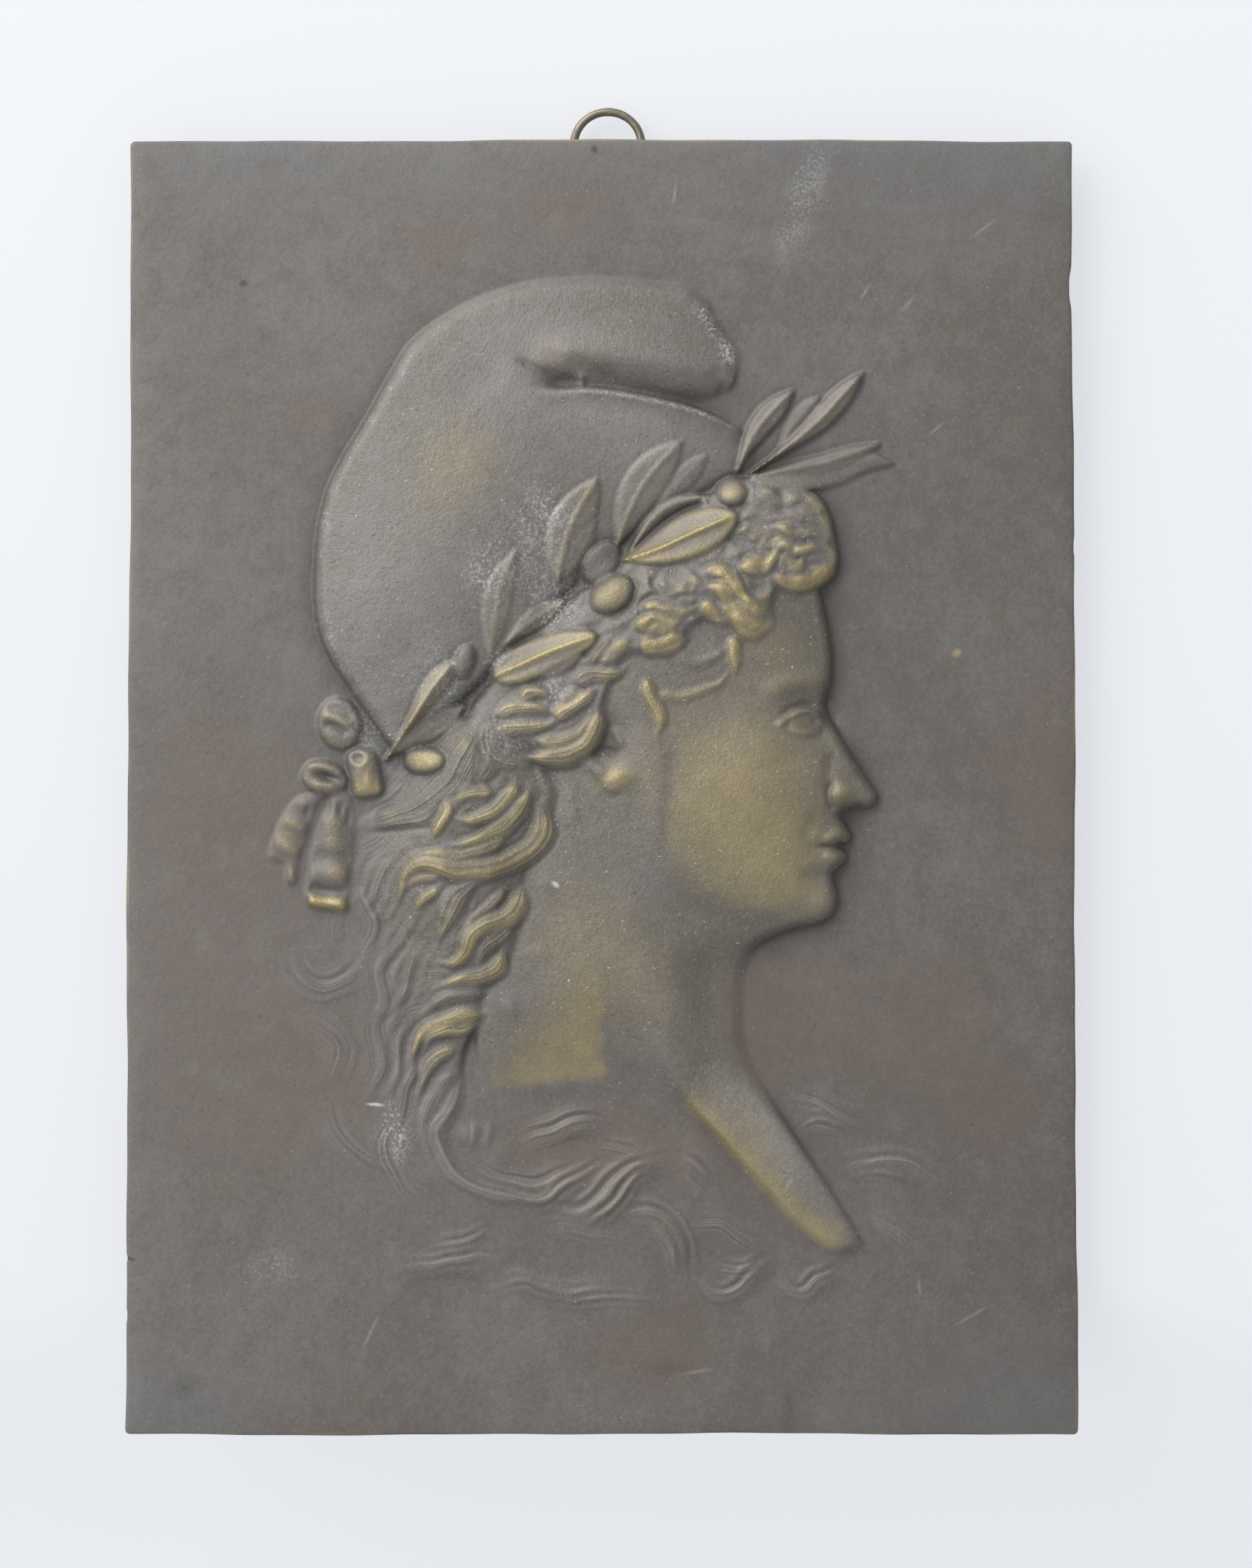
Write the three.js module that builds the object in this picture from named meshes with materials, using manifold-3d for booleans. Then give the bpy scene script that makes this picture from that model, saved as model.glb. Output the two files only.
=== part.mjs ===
// Relief plaque: one cast bronze plate with a profile head in a soft cap and laurel wreath, and its ring.
import * as THREE from "three";
import { mergeVertices } from "three/addons/utils/BufferGeometryUtils.js";
import Module from "manifold-3d";

// Plate sizes in mm. The relief is drawn with x to the right and y up from the plate's middle,
// and z out of the plate's flat back towards the viewer.
const PLATE_WIDTH = 240;
const PLATE_HEIGHT = 328;
const PLATE_THICKNESS = 5;
const CORNER_RADIUS = 2.5;
const ARRIS = 0.8;
const FIELD = PLATE_THICKNESS;

// The ring's loop, its wire, and how far its middle hangs below the plate's top edge.
const RING_RADIUS = 8.65;
const WIRE_RADIUS = 1;
const RING_BELOW_TOP = 0;
const RING_RIGHT_OF_MIDDLE = 1.5;

// The lug on the back: the ring's plane lies STANDOFF behind the plate.
const STANDOFF = 3.5;
const LUG_RADIUS = 4;
const LUG_WIDTH = 4.5;
const BORE_RADIUS = 2.1;
const RUNNING_GAP = 0.3;

// Relief heights above the field, and how deep each mass is rooted in the plate.
const CAP_RISE = 10.5;
const PEAK_RISE = 11.5;
const HEAD_RISE = 9.5;
const NECK_RISE = 7.5;
const BUST_RISE = 4.5;
const HAIR_RISE = 9;
const ROOT = 1.5;
const TALLEST = 20;

// The face is laid out in three equal parts: hairline to brow, brow to nose base, nose base to chin.
const HAIRLINE = 54;
const CHIN = -36;
const FACE_FRONT = 57;
const THIRD = (HAIRLINE - CHIN) / 3;
const BROW = HAIRLINE - THIRD;
const NOSE_BASE = BROW - THIRD;

const wasm = await Module();
wasm.setup();

// A closed three.js geometry as a solid that can be joined and cut.
function solid(geometry) {
  geometry.deleteAttribute("normal");
  geometry.deleteAttribute("uv");
  const merged = mergeVertices(geometry, 1e-4);
  return new wasm.Manifold(new wasm.Mesh({
    numProp: 3,
    vertProperties: new Float32Array(merged.attributes.position.array),
    triVerts: new Uint32Array(merged.index.array),
  }));
}

function meshOf(name, body, material) {
  const { vertProperties, triVerts } = body.getMesh();
  const geometry = new THREE.BufferGeometry();
  geometry.setAttribute("position", new THREE.BufferAttribute(vertProperties, 3));
  geometry.setIndex(new THREE.BufferAttribute(triVerts, 1));
  const mesh = new THREE.Mesh(geometry, material);
  mesh.name = name;
  return mesh;
}

// An outline that runs smoothly along each stretch and has a corner where two stretches meet.
function outline(start, ...stretches) {
  const shape = new THREE.Shape();
  shape.moveTo(...start);
  for (const stretch of stretches) {
    shape.splineThru(stretch.map(([x, y]) => new THREE.Vector2(x, y)));
  }
  return shape;
}

// An upright wall of a mass, from inside the plate to above the tallest relief.
function wall(shape, curveSegments = 2) {
  const geometry = new THREE.ExtrudeGeometry(shape, {
    depth: ROOT + TALLEST,
    bevelEnabled: false,
    curveSegments,
  });
  return solid(geometry.translate(0, 0, FIELD - ROOT));
}

// A swelling with its top at the given rise over the field; sunk is how far its middle lies under it.
function dome({ x, y, along, across, rise, turn = 0, sunk = 2, columns = 22, rows = 14 }) {
  const geometry = new THREE.SphereGeometry(1, columns, rows);
  geometry.rotateX(Math.PI / 2);
  geometry.scale(along, across, rise + sunk);
  geometry.rotateZ(THREE.MathUtils.degToRad(turn));
  return solid(geometry.translate(x, y, FIELD - sunk));
}

// A berry, bud, lip or eye: a small egg whose middle lies at the given level over the field.
function egg({ x, y, along, across = along, rise, level, turn = 0 }) {
  return dome({ x, y, along, across, turn, rise: rise + level, sunk: -level, columns: 10, rows: 8 });
}

// A leaf or lock: pointed at both ends, with a ridge on top. It bends to one side by bend and
// swings to both sides by wave, and its edge's level over the field goes from levels[0] to levels[1].
// Its underside reaches down into the plate.
function spindle({ from, to, width, rise, levels, bend = 0, wave = 0, sides = 4, steps = 6 }) {
  const belly = [[0, 0], [0.62, 0.2], [1, 0.55], [0.72, 0.85], [0, 1]];
  const profile = new THREE.SplineCurve(belly.map(([radius, t]) => new THREE.Vector2(radius, t)));
  const geometry = new THREE.LatheGeometry(profile.getPoints(steps), sides);
  const start = new THREE.Vector2(...from);
  const along = new THREE.Vector2(...to).sub(start);
  const across = new THREE.Vector2(along.y, -along.x).normalize();
  const position = geometry.attributes.position;
  for (let index = 0; index < position.count; index += 1) {
    const t = position.getY(index);
    const swing = bend * Math.sin(Math.PI * t) + wave * Math.sin(2 * Math.PI * t);
    const aside = swing + (position.getX(index) * width) / 2;
    const point = start.clone().addScaledVector(along, t).addScaledVector(across, aside);
    const level = THREE.MathUtils.lerp(levels[0], levels[1], t);
    const reach = position.getZ(index) > 0 ? rise : level + ROOT;
    position.setXYZ(index, point.x, point.y, FIELD + level + position.getZ(index) * reach);
  }
  return solid(geometry);
}

function joined(solids) {
  return solids.reduce((whole, next) => whole.add(next));
}

// Plate: a slab with slightly rounded corners and a softened front arris.
function plate() {
  const halfWidth = PLATE_WIDTH / 2 - ARRIS;
  const halfHeight = PLATE_HEIGHT / 2 - ARRIS;
  const radius = CORNER_RADIUS - ARRIS;
  const shape = new THREE.Shape();
  shape.absarc(halfWidth - radius, halfHeight - radius, radius, 0, Math.PI / 2);
  shape.absarc(radius - halfWidth, halfHeight - radius, radius, Math.PI / 2, Math.PI);
  shape.absarc(radius - halfWidth, radius - halfHeight, radius, Math.PI, Math.PI * 1.5);
  shape.absarc(halfWidth - radius, radius - halfHeight, radius, Math.PI * 1.5, Math.PI * 2);
  const slab = new THREE.ExtrudeGeometry(shape, {
    depth: PLATE_THICKNESS - 2 * ARRIS,
    bevelSize: ARRIS,
    bevelThickness: ARRIS,
    bevelSegments: 2,
    curveSegments: 4,
  });
  return solid(slab.translate(0, 0, ARRIS));
}

// Cap: a tall soft body, a peak that flops forward over a hollow, and a crease under the hollow.
function cap() {
  const bodyOutline = outline(
    [-60, 18],
    [[-69, 31], [-72.5, 50], [-69, 76], [-55, 101], [-43, 117], [-18, 127.5], [6, 128]],
    [[22, 112], [35, 90]],
    [[38, 78], [6, 58], [-22, 30], [-50, 8], [-60, 18]],
  );
  const body = wall(bodyOutline).intersect(
    dome({ x: -18, y: 72, along: 66, across: 68, rise: CAP_RISE }),
  );
  const peakOutline = outline(
    [-30, 116],
    [[-24, 126], [0, 128.5], [21, 126.5], [29.5, 119], [34.8, 109]],
    [[30, 104], [10, 104], [-8, 107], [-22, 110], [-30, 116]],
  );
  const peak = wall(peakOutline).intersect(
    dome({ x: 4, y: 114, along: 46, across: 20, rise: PEAK_RISE, turn: -6, sunk: 3 }),
  );
  const hollow = egg({ x: 6, y: 101, along: 29, across: 3.8, rise: 5, level: 10, turn: -8 });
  const crease = spindle({
    from: [-14, 96], to: [36, 90], bend: -4, width: 4, rise: 1.6, levels: [9.5, 6.5],
  });
  return joined([body.subtract(hollow), peak, crease]);
}

// Head, neck and bust: the face front on the three equal parts, the jaw, the neck, and the pointed cut.
function head() {
  const onFace = (forward, down) => [FACE_FRONT + forward * THIRD, BROW - down * THIRD];
  const faceOutline = outline(
    [40, 66],
    [[52, 62], onFace(0, -0.6), onFace(0.05, -0.1), onFace(-0.02, 0.15), onFace(0.16, 0.5)],
    [onFace(0.42, 0.88), onFace(0.34, 1.01), onFace(0.12, 1.05)],
    [onFace(0.2, 1.22), onFace(0.1, 1.33)],
    [onFace(0.17, 1.45), onFace(0.02, 1.58), onFace(0.08, 1.8), onFace(-0.1, 2), onFace(-0.4, 2.05)],
    [[34, CHIN + 1], [17, -26], [8, -12], [-8, 4]],
    [[-14, 30], [10, 58], [40, 66]],
  );
  const neckOutline = outline(
    [43, CHIN + 3],
    [[37, -43], [35.5, -55], [37, -68]],
    [[20, -74], [0, -70], [-27, -76]],
    [[-30, -50], [-24, -20], [-16, 6], [10, 6], [43, CHIN + 3]],
  );
  const bustOutline = outline(
    [30, -60],
    [[37, -68], [52, -93], [66, -117]],
    [[57, -116], [36, -93], [14, -72], [0, -66]],
    [[14, -60], [30, -60]],
  );
  const skull = dome({ x: 14, y: 10, along: 60, across: 62, rise: HEAD_RISE, sunk: 3 });
  const throat = dome({ x: 2, y: -46, along: 46, across: 62, rise: NECK_RISE, sunk: 3 });
  const cut = dome({ x: 28, y: -76, along: 62, across: 30, rise: BUST_RISE, turn: -52, sunk: 3 });
  const socket = egg({
    x: FACE_FRONT - 5, y: BROW - 6, along: 8, across: 5, rise: 3.5, level: HEAD_RISE - 0.8, turn: -10,
  });
  const mouthLine = egg({
    x: FACE_FRONT, y: NOSE_BASE - THIRD / 3, along: 7, across: 0.8, rise: 2.5, level: 6,
  });
  const face = wall(faceOutline).intersect(skull).subtract(socket).subtract(mouthLine);
  const neck = wall(neckOutline).intersect(throat);
  const bust = wall(bustOutline).intersect(cut);
  const eye = egg({
    x: FACE_FRONT - 6, y: BROW - 6.5, along: 4.6, across: 2.6, rise: 2.2, level: 4.4, turn: -6,
  });
  const wing = egg({
    x: FACE_FRONT + 4, y: NOSE_BASE + 4, along: 4, across: 3.2, rise: 3.4, level: 3.6, turn: 15,
  });
  const lobe = egg({ x: 3, y: NOSE_BASE + 7, along: 5.5, across: 3.6, rise: 3, level: 8.2, turn: -60 });
  return joined([face, neck, bust, eye, wing, lobe]);
}

// Hair: a front mass under the wreath, a fall behind the neck, and locks laid over both.
function hair() {
  const frontOutline = outline(
    [34, 76],
    [[53, 73.5], [59, 64], [60, 54]],
    [[52, 49], [44, 42], [34, 40], [22, 38], [8, 33], [1, 20], [-4, 6], [-20, 4]],
    [[-34, 12], [-20, 34], [6, 58], [34, 76]],
  );
  const fallOutline = outline(
    [-20, 8],
    [[-36, 16], [-52, 2], [-56, -8]],
    [[-50, -22], [-47, -48], [-50, -74], [-42, -96], [-22, -105]],
    [[-29, -84], [-25, -58], [-20, -28], [-12, -6], [-20, 8]],
  );
  const front = wall(frontOutline).intersect(
    dome({ x: 10, y: 32, along: 58, across: 44, rise: HAIR_RISE, turn: 30, sunk: 3 }),
  );
  const fall = wall(fallOutline).intersect(
    dome({ x: -32, y: -24, along: 86, across: 32, rise: HAIR_RISE - 3, turn: 84, sunk: 2 }),
  );
  const deep = [
    { from: [-56, -8], to: [-22, 18], width: 20, bend: -3, rise: 3, levels: [3.5, 6.5] },
    { from: [-28, 17], to: [1, 23], width: 8, bend: 2, rise: 2.4, levels: [7, 8.5] },
    { from: [-24, 12], to: [0, 17], width: 7, bend: 2, rise: 2.4, levels: [7, 9] },
    { from: [-22, 5], to: [1, 20], width: 9, bend: 7, rise: 2.8, levels: [7, 8.5] },
    { from: [-14, -4], to: [-54, -34], width: 9, wave: -6, rise: 3, levels: [5, 3] },
    { from: [-18, 0], to: [-47, -15], width: 8, wave: -3, rise: 2.8, levels: [5.5, 4] },
    { from: [-20, -13], to: [-46, -30], width: 7, wave: -4, rise: 2.6, levels: [5.5, 3.5] },
    { from: [-20, -27], to: [-42, -48], width: 9, bend: -1.5, wave: -2, rise: 3, levels: [5, 3] },
    { from: [-22, -40], to: [-46, -53], width: 8, wave: -3, rise: 2.6, levels: [4.5, 2.5] },
    { from: [-27, -56], to: [-49, -73], width: 8, bend: 3, rise: 2.6, levels: [4, 2] },
    { from: [-30, -62], to: [-2, -97], width: 9, bend: 22, rise: 2.4, levels: [3, 1] },
    { from: [-28, -70], to: [-26, -100], width: 8, bend: 9, rise: 2.2, levels: [3, 1.5] },
    { from: [36, 62], to: [57, 60], width: 7, wave: 1.8, rise: 2.4, levels: [6.5, 4.5] },
    { from: [40, 53], to: [59, 56], width: 6, bend: 3, wave: -1, rise: 2.4, levels: [6.8, 4.6] },
    { from: [26, 55], to: [44, 45], width: 7, bend: 3, wave: -1.5, rise: 2.4, levels: [7.6, 6.4] },
    { from: [5, 37], to: [26, 41], width: 8, bend: -2, wave: 1.5, rise: 2.4, levels: [8.4, 8] },
    { from: [12, 27], to: [15, 11], width: 5, bend: -1, rise: 1.6, levels: [9.2, 8.8] },
    { from: [33, 40], to: [34, 26], width: 5, bend: -1, rise: 1.6, levels: [8.4, 8] },
  ];
  const low = [
    { from: [-12, -110], to: [30, -102], width: 6, bend: -4, wave: 4, rise: 1.5 },
    { from: [-24, -91], to: [3, -87], width: 5, bend: -2.5, rise: 1.3 },
    { from: [4, -111], to: [22, -128], width: 6, bend: -6, rise: 1.3 },
    { from: [24, -125], to: [44, -119], width: 5, bend: 5, rise: 1.2 },
    { from: [25, -113], to: [42, -119], width: 4, bend: -2, rise: 1.1 },
    { from: [44, -124], to: [62, -122], width: 4, bend: 3, wave: 1.5, rise: 1.1 },
    { from: [-52, -123], to: [-22, -121], width: 4, bend: -1.8, rise: 1 },
    { from: [-31, -127], to: [12, -129], width: 4, bend: -1.2, wave: -1.6, rise: 1 },
    { from: [48, -87], to: [68, -88], width: 4, bend: -2.4, rise: 1 },
    { from: [60, -96], to: [88, -103], width: 4, bend: -1.8, rise: 1 },
    { from: [-70, -82], to: [-50, -99], width: 5, bend: 2, rise: 1 },
    { from: [-84, -46], to: [-56, -38], width: 5, wave: 2.5, rise: 0.9 },
  ];
  const locks = deep.map((lock) => spindle({ ...lock, sides: 6, steps: 7 }));
  const wisps = low.map((wisp) => spindle({ ...wisp, levels: [0, 0], sides: 6, steps: 7 }));
  return joined([front, fall, ...locks, ...wisps]);
}

// Laurel wreath: leaves with a ridge for the rib, berries, and buds on long stalks.
function wreath() {
  const leaves = [
    { from: [34, 78], to: [49, 100], width: 7, bend: 1.5, levels: [7.5, 2.5] },
    { from: [45, 84], to: [55.5, 98], width: 6, bend: 0, levels: [5, 1.2] },
    { from: [38, 78], to: [66.5, 104], width: 7, bend: 1, levels: [7, 2] },
    { from: [37, 76], to: [74, 83], width: 10, bend: -1, levels: [6, 0.6] },
    { from: [3.5, 60], to: [21, 87], width: 11, bend: -2, levels: [10, 9.5] },
    { from: [13, 69], to: [27, 83], width: 6, bend: 0, levels: [9, 9] },
    { from: [5, 56], to: [35, 68], width: 12, bend: -1, levels: [10, 9] },
    { from: [8, 59], to: [28, 73], width: 4, bend: -4, levels: [10, 9] },
    { from: [-11, 50], to: [-0.5, 77], width: 11, bend: -3, levels: [10, 10] },
    { from: [-28, 31], to: [-21, 58], width: 8, bend: -2, levels: [9.6, 9.8] },
    { from: [-24, 34], to: [-9, 46], width: 6, bend: 0, levels: [10, 10] },
    { from: [-27, 27], to: [-1, 36], width: 10, bend: 0, levels: [10, 10] },
    { from: [-54, 6], to: [-36, 31], width: 7, bend: 0, levels: [6.5, 9.2] },
    { from: [-54, 7], to: [-34, 20], width: 8, bend: 1, levels: [6, 9] },
  ];
  const berries = [
    { x: 32.8, y: 73.4, along: 3.9, level: 8.5, rise: 3.4 },
    { x: 0, y: 55.5, along: 6, across: 4, turn: 52, level: 10, rise: 3.2 },
    { x: 2.4, y: 47.5, along: 5.9, across: 4.7, turn: 38, level: 10, rise: 3.2 },
    { x: -34.3, y: 30, along: 4.6, across: 2.8, turn: 70, level: 9.4, rise: 2.6 },
    { x: -44, y: 5.6, along: 5.5, across: 3.5, level: 7.4, rise: 2.8 },
  ];
  const blades = leaves.map((leaf) => spindle({ ...leaf, rise: 2.2 }));
  return joined([...blades, ...berries.map(egg)]);
}

// Ribbon bow at the nape: a knot, two loops with a slit where the ribbon turns, and two hanging tails.
function bow() {
  const loops = [
    { x: -66, y: 17, along: 6.6, across: 4.8, turn: -36, level: 1, rise: 5 },
    { x: -70, y: 1.5, along: 6.6, across: 4.4, turn: 8, level: 0.8, rise: 4.2 },
  ];
  const ribbons = loops.map((loop) => {
    const slit = egg({ ...loop, along: loop.along * 0.65, across: 0.8, level: loop.level + loop.rise });
    return egg(loop).subtract(slit);
  });
  const longTail = outline(
    [-62, -2],
    [[-63, -17], [-64, -32.5]],
    [[-69, -33], [-74.3, -30]],
    [[-73, -18], [-70, -7], [-67, -2], [-62, -2]],
  );
  const shortTail = outline(
    [-69, -2],
    [[-73, -12], [-77, -20], [-79, -25]],
    [[-83, -18], [-79, -10], [-75, -3], [-69, -2]],
  );
  const fold = dome({ x: -70, y: -14, along: 9, across: 26, rise: 3.6, turn: -8, columns: 16, rows: 12 });
  const knot = egg({ x: -60, y: 4, along: 3.8, across: 4.6, level: 1.2, rise: 5.2 });
  const tails = wall(longTail).add(wall(shortTail)).intersect(fold);
  return joined([...ribbons, knot, tails]);
}

// Lug on the back: a rounded ear with a bore across it that the ring runs through.
function lug(boreY) {
  const ear = new THREE.Shape();
  ear.moveTo(-ROOT, -LUG_RADIUS);
  ear.lineTo(STANDOFF, -LUG_RADIUS);
  ear.absarc(STANDOFF, 0, LUG_RADIUS, -Math.PI / 2, Math.PI / 2);
  ear.lineTo(-ROOT, LUG_RADIUS);
  ear.holes.push(new THREE.Path().absarc(STANDOFF, 0, BORE_RADIUS, 0, Math.PI * 2, true));
  const geometry = new THREE.ExtrudeGeometry(ear, {
    depth: LUG_WIDTH,
    bevelEnabled: false,
    curveSegments: 8,
  });
  geometry.translate(0, 0, -LUG_WIDTH / 2);
  geometry.rotateY(Math.PI / 2);
  return solid(geometry.translate(RING_RIGHT_OF_MIDDLE, boreY, 0));
}

const bronze = new THREE.MeshStandardMaterial({ color: 0x74695c, roughness: 0.5, metalness: 0.9 });
const brass = new THREE.MeshStandardMaterial({ color: 0xa98f4e, roughness: 0.4, metalness: 1 });

const topEdge = PLATE_HEIGHT / 2;
const ringMiddle = topEdge - RING_BELOW_TOP;
const boreY = ringMiddle - RING_RADIUS - RUNNING_GAP;

const casting = joined([plate(), cap(), head(), hair(), wreath(), bow(), lug(boreY)]);
const ring = solid(new THREE.TorusGeometry(RING_RADIUS, WIRE_RADIUS, 8, 32));
const plaqueMesh = meshOf("plaque", casting, bronze);
const ringMesh = meshOf("hanging_ring", ring, brass);
ringMesh.position.set(RING_RIGHT_OF_MIDDLE, ringMiddle, -STANDOFF);

// The relief stands up with its front to -Y, and the origin is the inner top of the ring.
const relief = new THREE.Group();
relief.add(plaqueMesh, ringMesh);
relief.rotation.x = Math.PI / 2;
relief.position.set(-RING_RIGHT_OF_MIDDLE, -STANDOFF, -(ringMiddle + RING_RADIUS - WIRE_RADIUS));

const object = new THREE.Group();
object.add(relief);

export default object;
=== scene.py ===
import math

import bpy
import numpy as np
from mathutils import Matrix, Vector


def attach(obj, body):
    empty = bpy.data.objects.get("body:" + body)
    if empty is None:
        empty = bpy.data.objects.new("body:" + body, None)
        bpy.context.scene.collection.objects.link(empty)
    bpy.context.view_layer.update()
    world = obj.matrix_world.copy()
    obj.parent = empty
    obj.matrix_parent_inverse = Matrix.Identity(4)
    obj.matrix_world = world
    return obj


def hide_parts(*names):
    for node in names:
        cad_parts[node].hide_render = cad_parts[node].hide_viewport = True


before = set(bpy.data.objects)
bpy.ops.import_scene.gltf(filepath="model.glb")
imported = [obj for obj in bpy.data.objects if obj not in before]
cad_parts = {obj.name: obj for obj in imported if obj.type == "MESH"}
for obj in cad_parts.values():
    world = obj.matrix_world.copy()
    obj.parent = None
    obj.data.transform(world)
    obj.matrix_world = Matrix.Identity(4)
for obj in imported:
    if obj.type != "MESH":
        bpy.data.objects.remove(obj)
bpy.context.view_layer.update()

# Plaque: plate and relief
# One bronze casting: a flat plate with a head in low relief, and on its back a lug that carries the ring.
# It is sand cast, patinated brown all over and worn back to gold where it stands proud. Sizes are in mm.

PLATE_WIDTH = 240
PLATE_HEIGHT = 328
PLATE_FRONT = -8.5
PLATE_BACK = -3.5
MIDDLE_X = -1.5
MIDDLE_Z = -171.65
GRID = 0.5
columns = np.arange(-PLATE_WIDTH / 2, PLATE_WIDTH / 2 + GRID / 2, GRID)
rows = np.arange(-PLATE_HEIGHT / 2, PLATE_HEIGHT / 2 + GRID / 2, GRID)
across, up = np.meshgrid(columns, rows)
relief = np.zeros_like(across)
bed = np.zeros_like(across)
worn = np.zeros_like(across)
strand = np.zeros_like(across)
hairy = np.zeros_like(across)
berries = np.zeros_like(across)


def ease(value, low, high):
    """A smooth step from 0 at low to 1 at high."""
    t = np.clip((value - low) / (high - low), 0, 1)
    return t * t * (3 - 2 * t)


def even(field, spread):
    """A field softened over a spread of mm."""
    reach = int(np.ceil(spread * 3 / GRID))
    weights = np.exp(-0.5 * (np.arange(-reach, reach + 1) * GRID / spread) ** 2)
    weights /= weights.sum()
    wide = np.pad(field, reach, mode="edge")
    tall, broad = field.shape
    half = sum(w * wide[i:i + tall, :] for i, w in enumerate(weights))
    return sum(w * half[:, i:i + broad] for i, w in enumerate(weights))


def unevenness(spread, seed):
    """A field of soft random lumps of about the given spread, mostly between -1 and 1."""
    lumps = even(np.random.default_rng(seed).standard_normal(across.shape), spread)
    return lumps / lumps.std() / 1.6


loose_across = across + 0.45 * unevenness(2.2, 1)
loose_up = up + 0.45 * unevenness(2.2, 2)


def curve(points, closed=False, steps=6):
    """A smooth run of points through the given ones."""
    p = np.array(points, float)
    if closed:
        p = np.vstack([p[-1], p, p[0], p[1]])
    else:
        p = np.vstack([2 * p[0] - p[1], p, 2 * p[-1] - p[-2]])
    run = []
    for a, b, c, d in zip(p[:-3], p[1:-2], p[2:-1], p[3:]):
        for t in np.arange(steps) / steps:
            bend = (2 * a - 5 * b + 4 * c - d) * t ** 2 + (3 * b - a - 3 * c + d) * t ** 3
            run.append(0.5 * (2 * b + (c - a) * t + bend))
    if not closed:
        run.append(p[-2])
    return np.array(run)


def beside(run, reach, loose=False):
    """The patch of the grid near a run, and there the distance to it, the place along it and its side.

    A loose run wavers a little, as hair does."""
    low = run.min(axis=0) - reach
    high = run.max(axis=0) + reach
    left, right = np.searchsorted(columns, [low[0], high[0]])
    bottom, top = np.searchsorted(rows, [low[1], high[1]])
    patch = (slice(bottom, top), slice(left, right))
    x, z = (loose_across[patch], loose_up[patch]) if loose else (across[patch], up[patch])
    nearest = np.full(x.shape, 1e9)
    along = np.zeros(x.shape)
    side = np.ones(x.shape)
    lengths = np.hypot(*np.diff(run, axis=0).T)
    starts = np.cumsum(lengths) - lengths
    for (ax, az), (bx, bz), length, start in zip(run[:-1], run[1:], lengths, starts):
        if length < 1e-9:
            continue
        ux, uz = (bx - ax) / length, (bz - az) / length
        t = np.clip((x - ax) * ux + (z - az) * uz, 0, length)
        away = (x - ax - t * ux) ** 2 + (z - az - t * uz) ** 2
        closer = away < nearest
        nearest = np.where(closer, away, nearest)
        along = np.where(closer, (start + t) / lengths.sum(), along)
        side = np.where(closer, np.sign(ux * (z - az) - uz * (x - ax)), side)
    return patch, np.sqrt(nearest), along, side


def inside(outline):
    """Distance inside a smooth closed outline, and below 0 outside it."""
    run = curve(outline, closed=True, steps=4)
    ring = np.vstack([run, run[:1]])
    patch, distance, _, _ = beside(ring, 12)
    x, z = across[patch], up[patch]
    within = np.zeros(x.shape, bool)
    for (ax, az), (bx, bz) in zip(ring[:-1], ring[1:]):
        if az != bz:
            within ^= ((az > z) != (bz > z)) & (x < ax + (z - az) * (bx - ax) / (bz - az))
    depth = np.full(across.shape, -12.0)
    depth[patch] = np.where(within, distance, -distance)
    return depth


def away_from(points, most):
    """Distance to an open line, up to the most that is asked for."""
    patch, distance, _, _ = beside(curve(points), most)
    away = np.full(across.shape, float(most))
    away[patch] = np.minimum(distance, most)
    return away


def dome(u):
    """A round top over u from -1 to 1."""
    return np.sqrt(np.maximum(1 - u * u, 0))


def mound(depth, wall, rounding, crown, reach, soften=0):
    """A mass with a rounded wall and a crown that rises away from its edge."""
    shoulder = wall * dome(1 - np.clip(depth / rounding, 0, 1))
    top = crown * (1 - np.exp(-np.maximum(depth, 0) / reach))
    if soften:
        top = even(top, soften) * ease(depth, 0, 3)
    return np.where(depth > 0, shoulder + top, 0)


def oval(x, z, wide, high, turn=0):
    """How far out a place is in an oval: 0 in the middle and 1 on the rim."""
    c, s = math.cos(math.radians(turn)), math.sin(math.radians(turn))
    return np.hypot(((across - x) * c + (up - z) * s) / wide, ((up - z) * c - (across - x) * s) / high)


def hump(x, z, wide, high, rise, turn=0):
    """A soft swelling, or with a rise below 0 a hollow."""
    return rise * np.exp(-oval(x, z, wide, high, turn) ** 2)


def ridge(points, width, rise, ends=0.3):
    """A soft ridge along a line, or with a rise below 0 a groove, that runs out at both ends."""
    patch, distance, along, _ = beside(curve(points), width * 2.2)
    line = np.zeros(across.shape)
    fade = ease(along, 0, ends) * ease(1 - along, 0, ends)
    line[patch] = rise * np.exp(-(distance / (width / 2)) ** 2) * fade
    return line


def lay(shape, depth):
    """Lays a mass over the relief inside an outline."""
    relief[:] = np.where(depth > 0, np.maximum(relief, shape), relief)


def settle(softness):
    """Takes the relief so far, softened, as the bed for the next strands or leaves."""
    bed[:] = even(relief, softness)


# Head and bust: a plain face in profile, set out on three equal parts from hairline to chin

HAIRLINE = 54
CHIN = -36
FACE_FRONT = 57
THIRD = (HAIRLINE - CHIN) / 3
BROW = HAIRLINE - THIRD


def face(forward, down):
    """A place on the face, in thirds forward of its front line and below the brow."""
    return FACE_FRONT + forward * THIRD, BROW - down * THIRD


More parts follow.
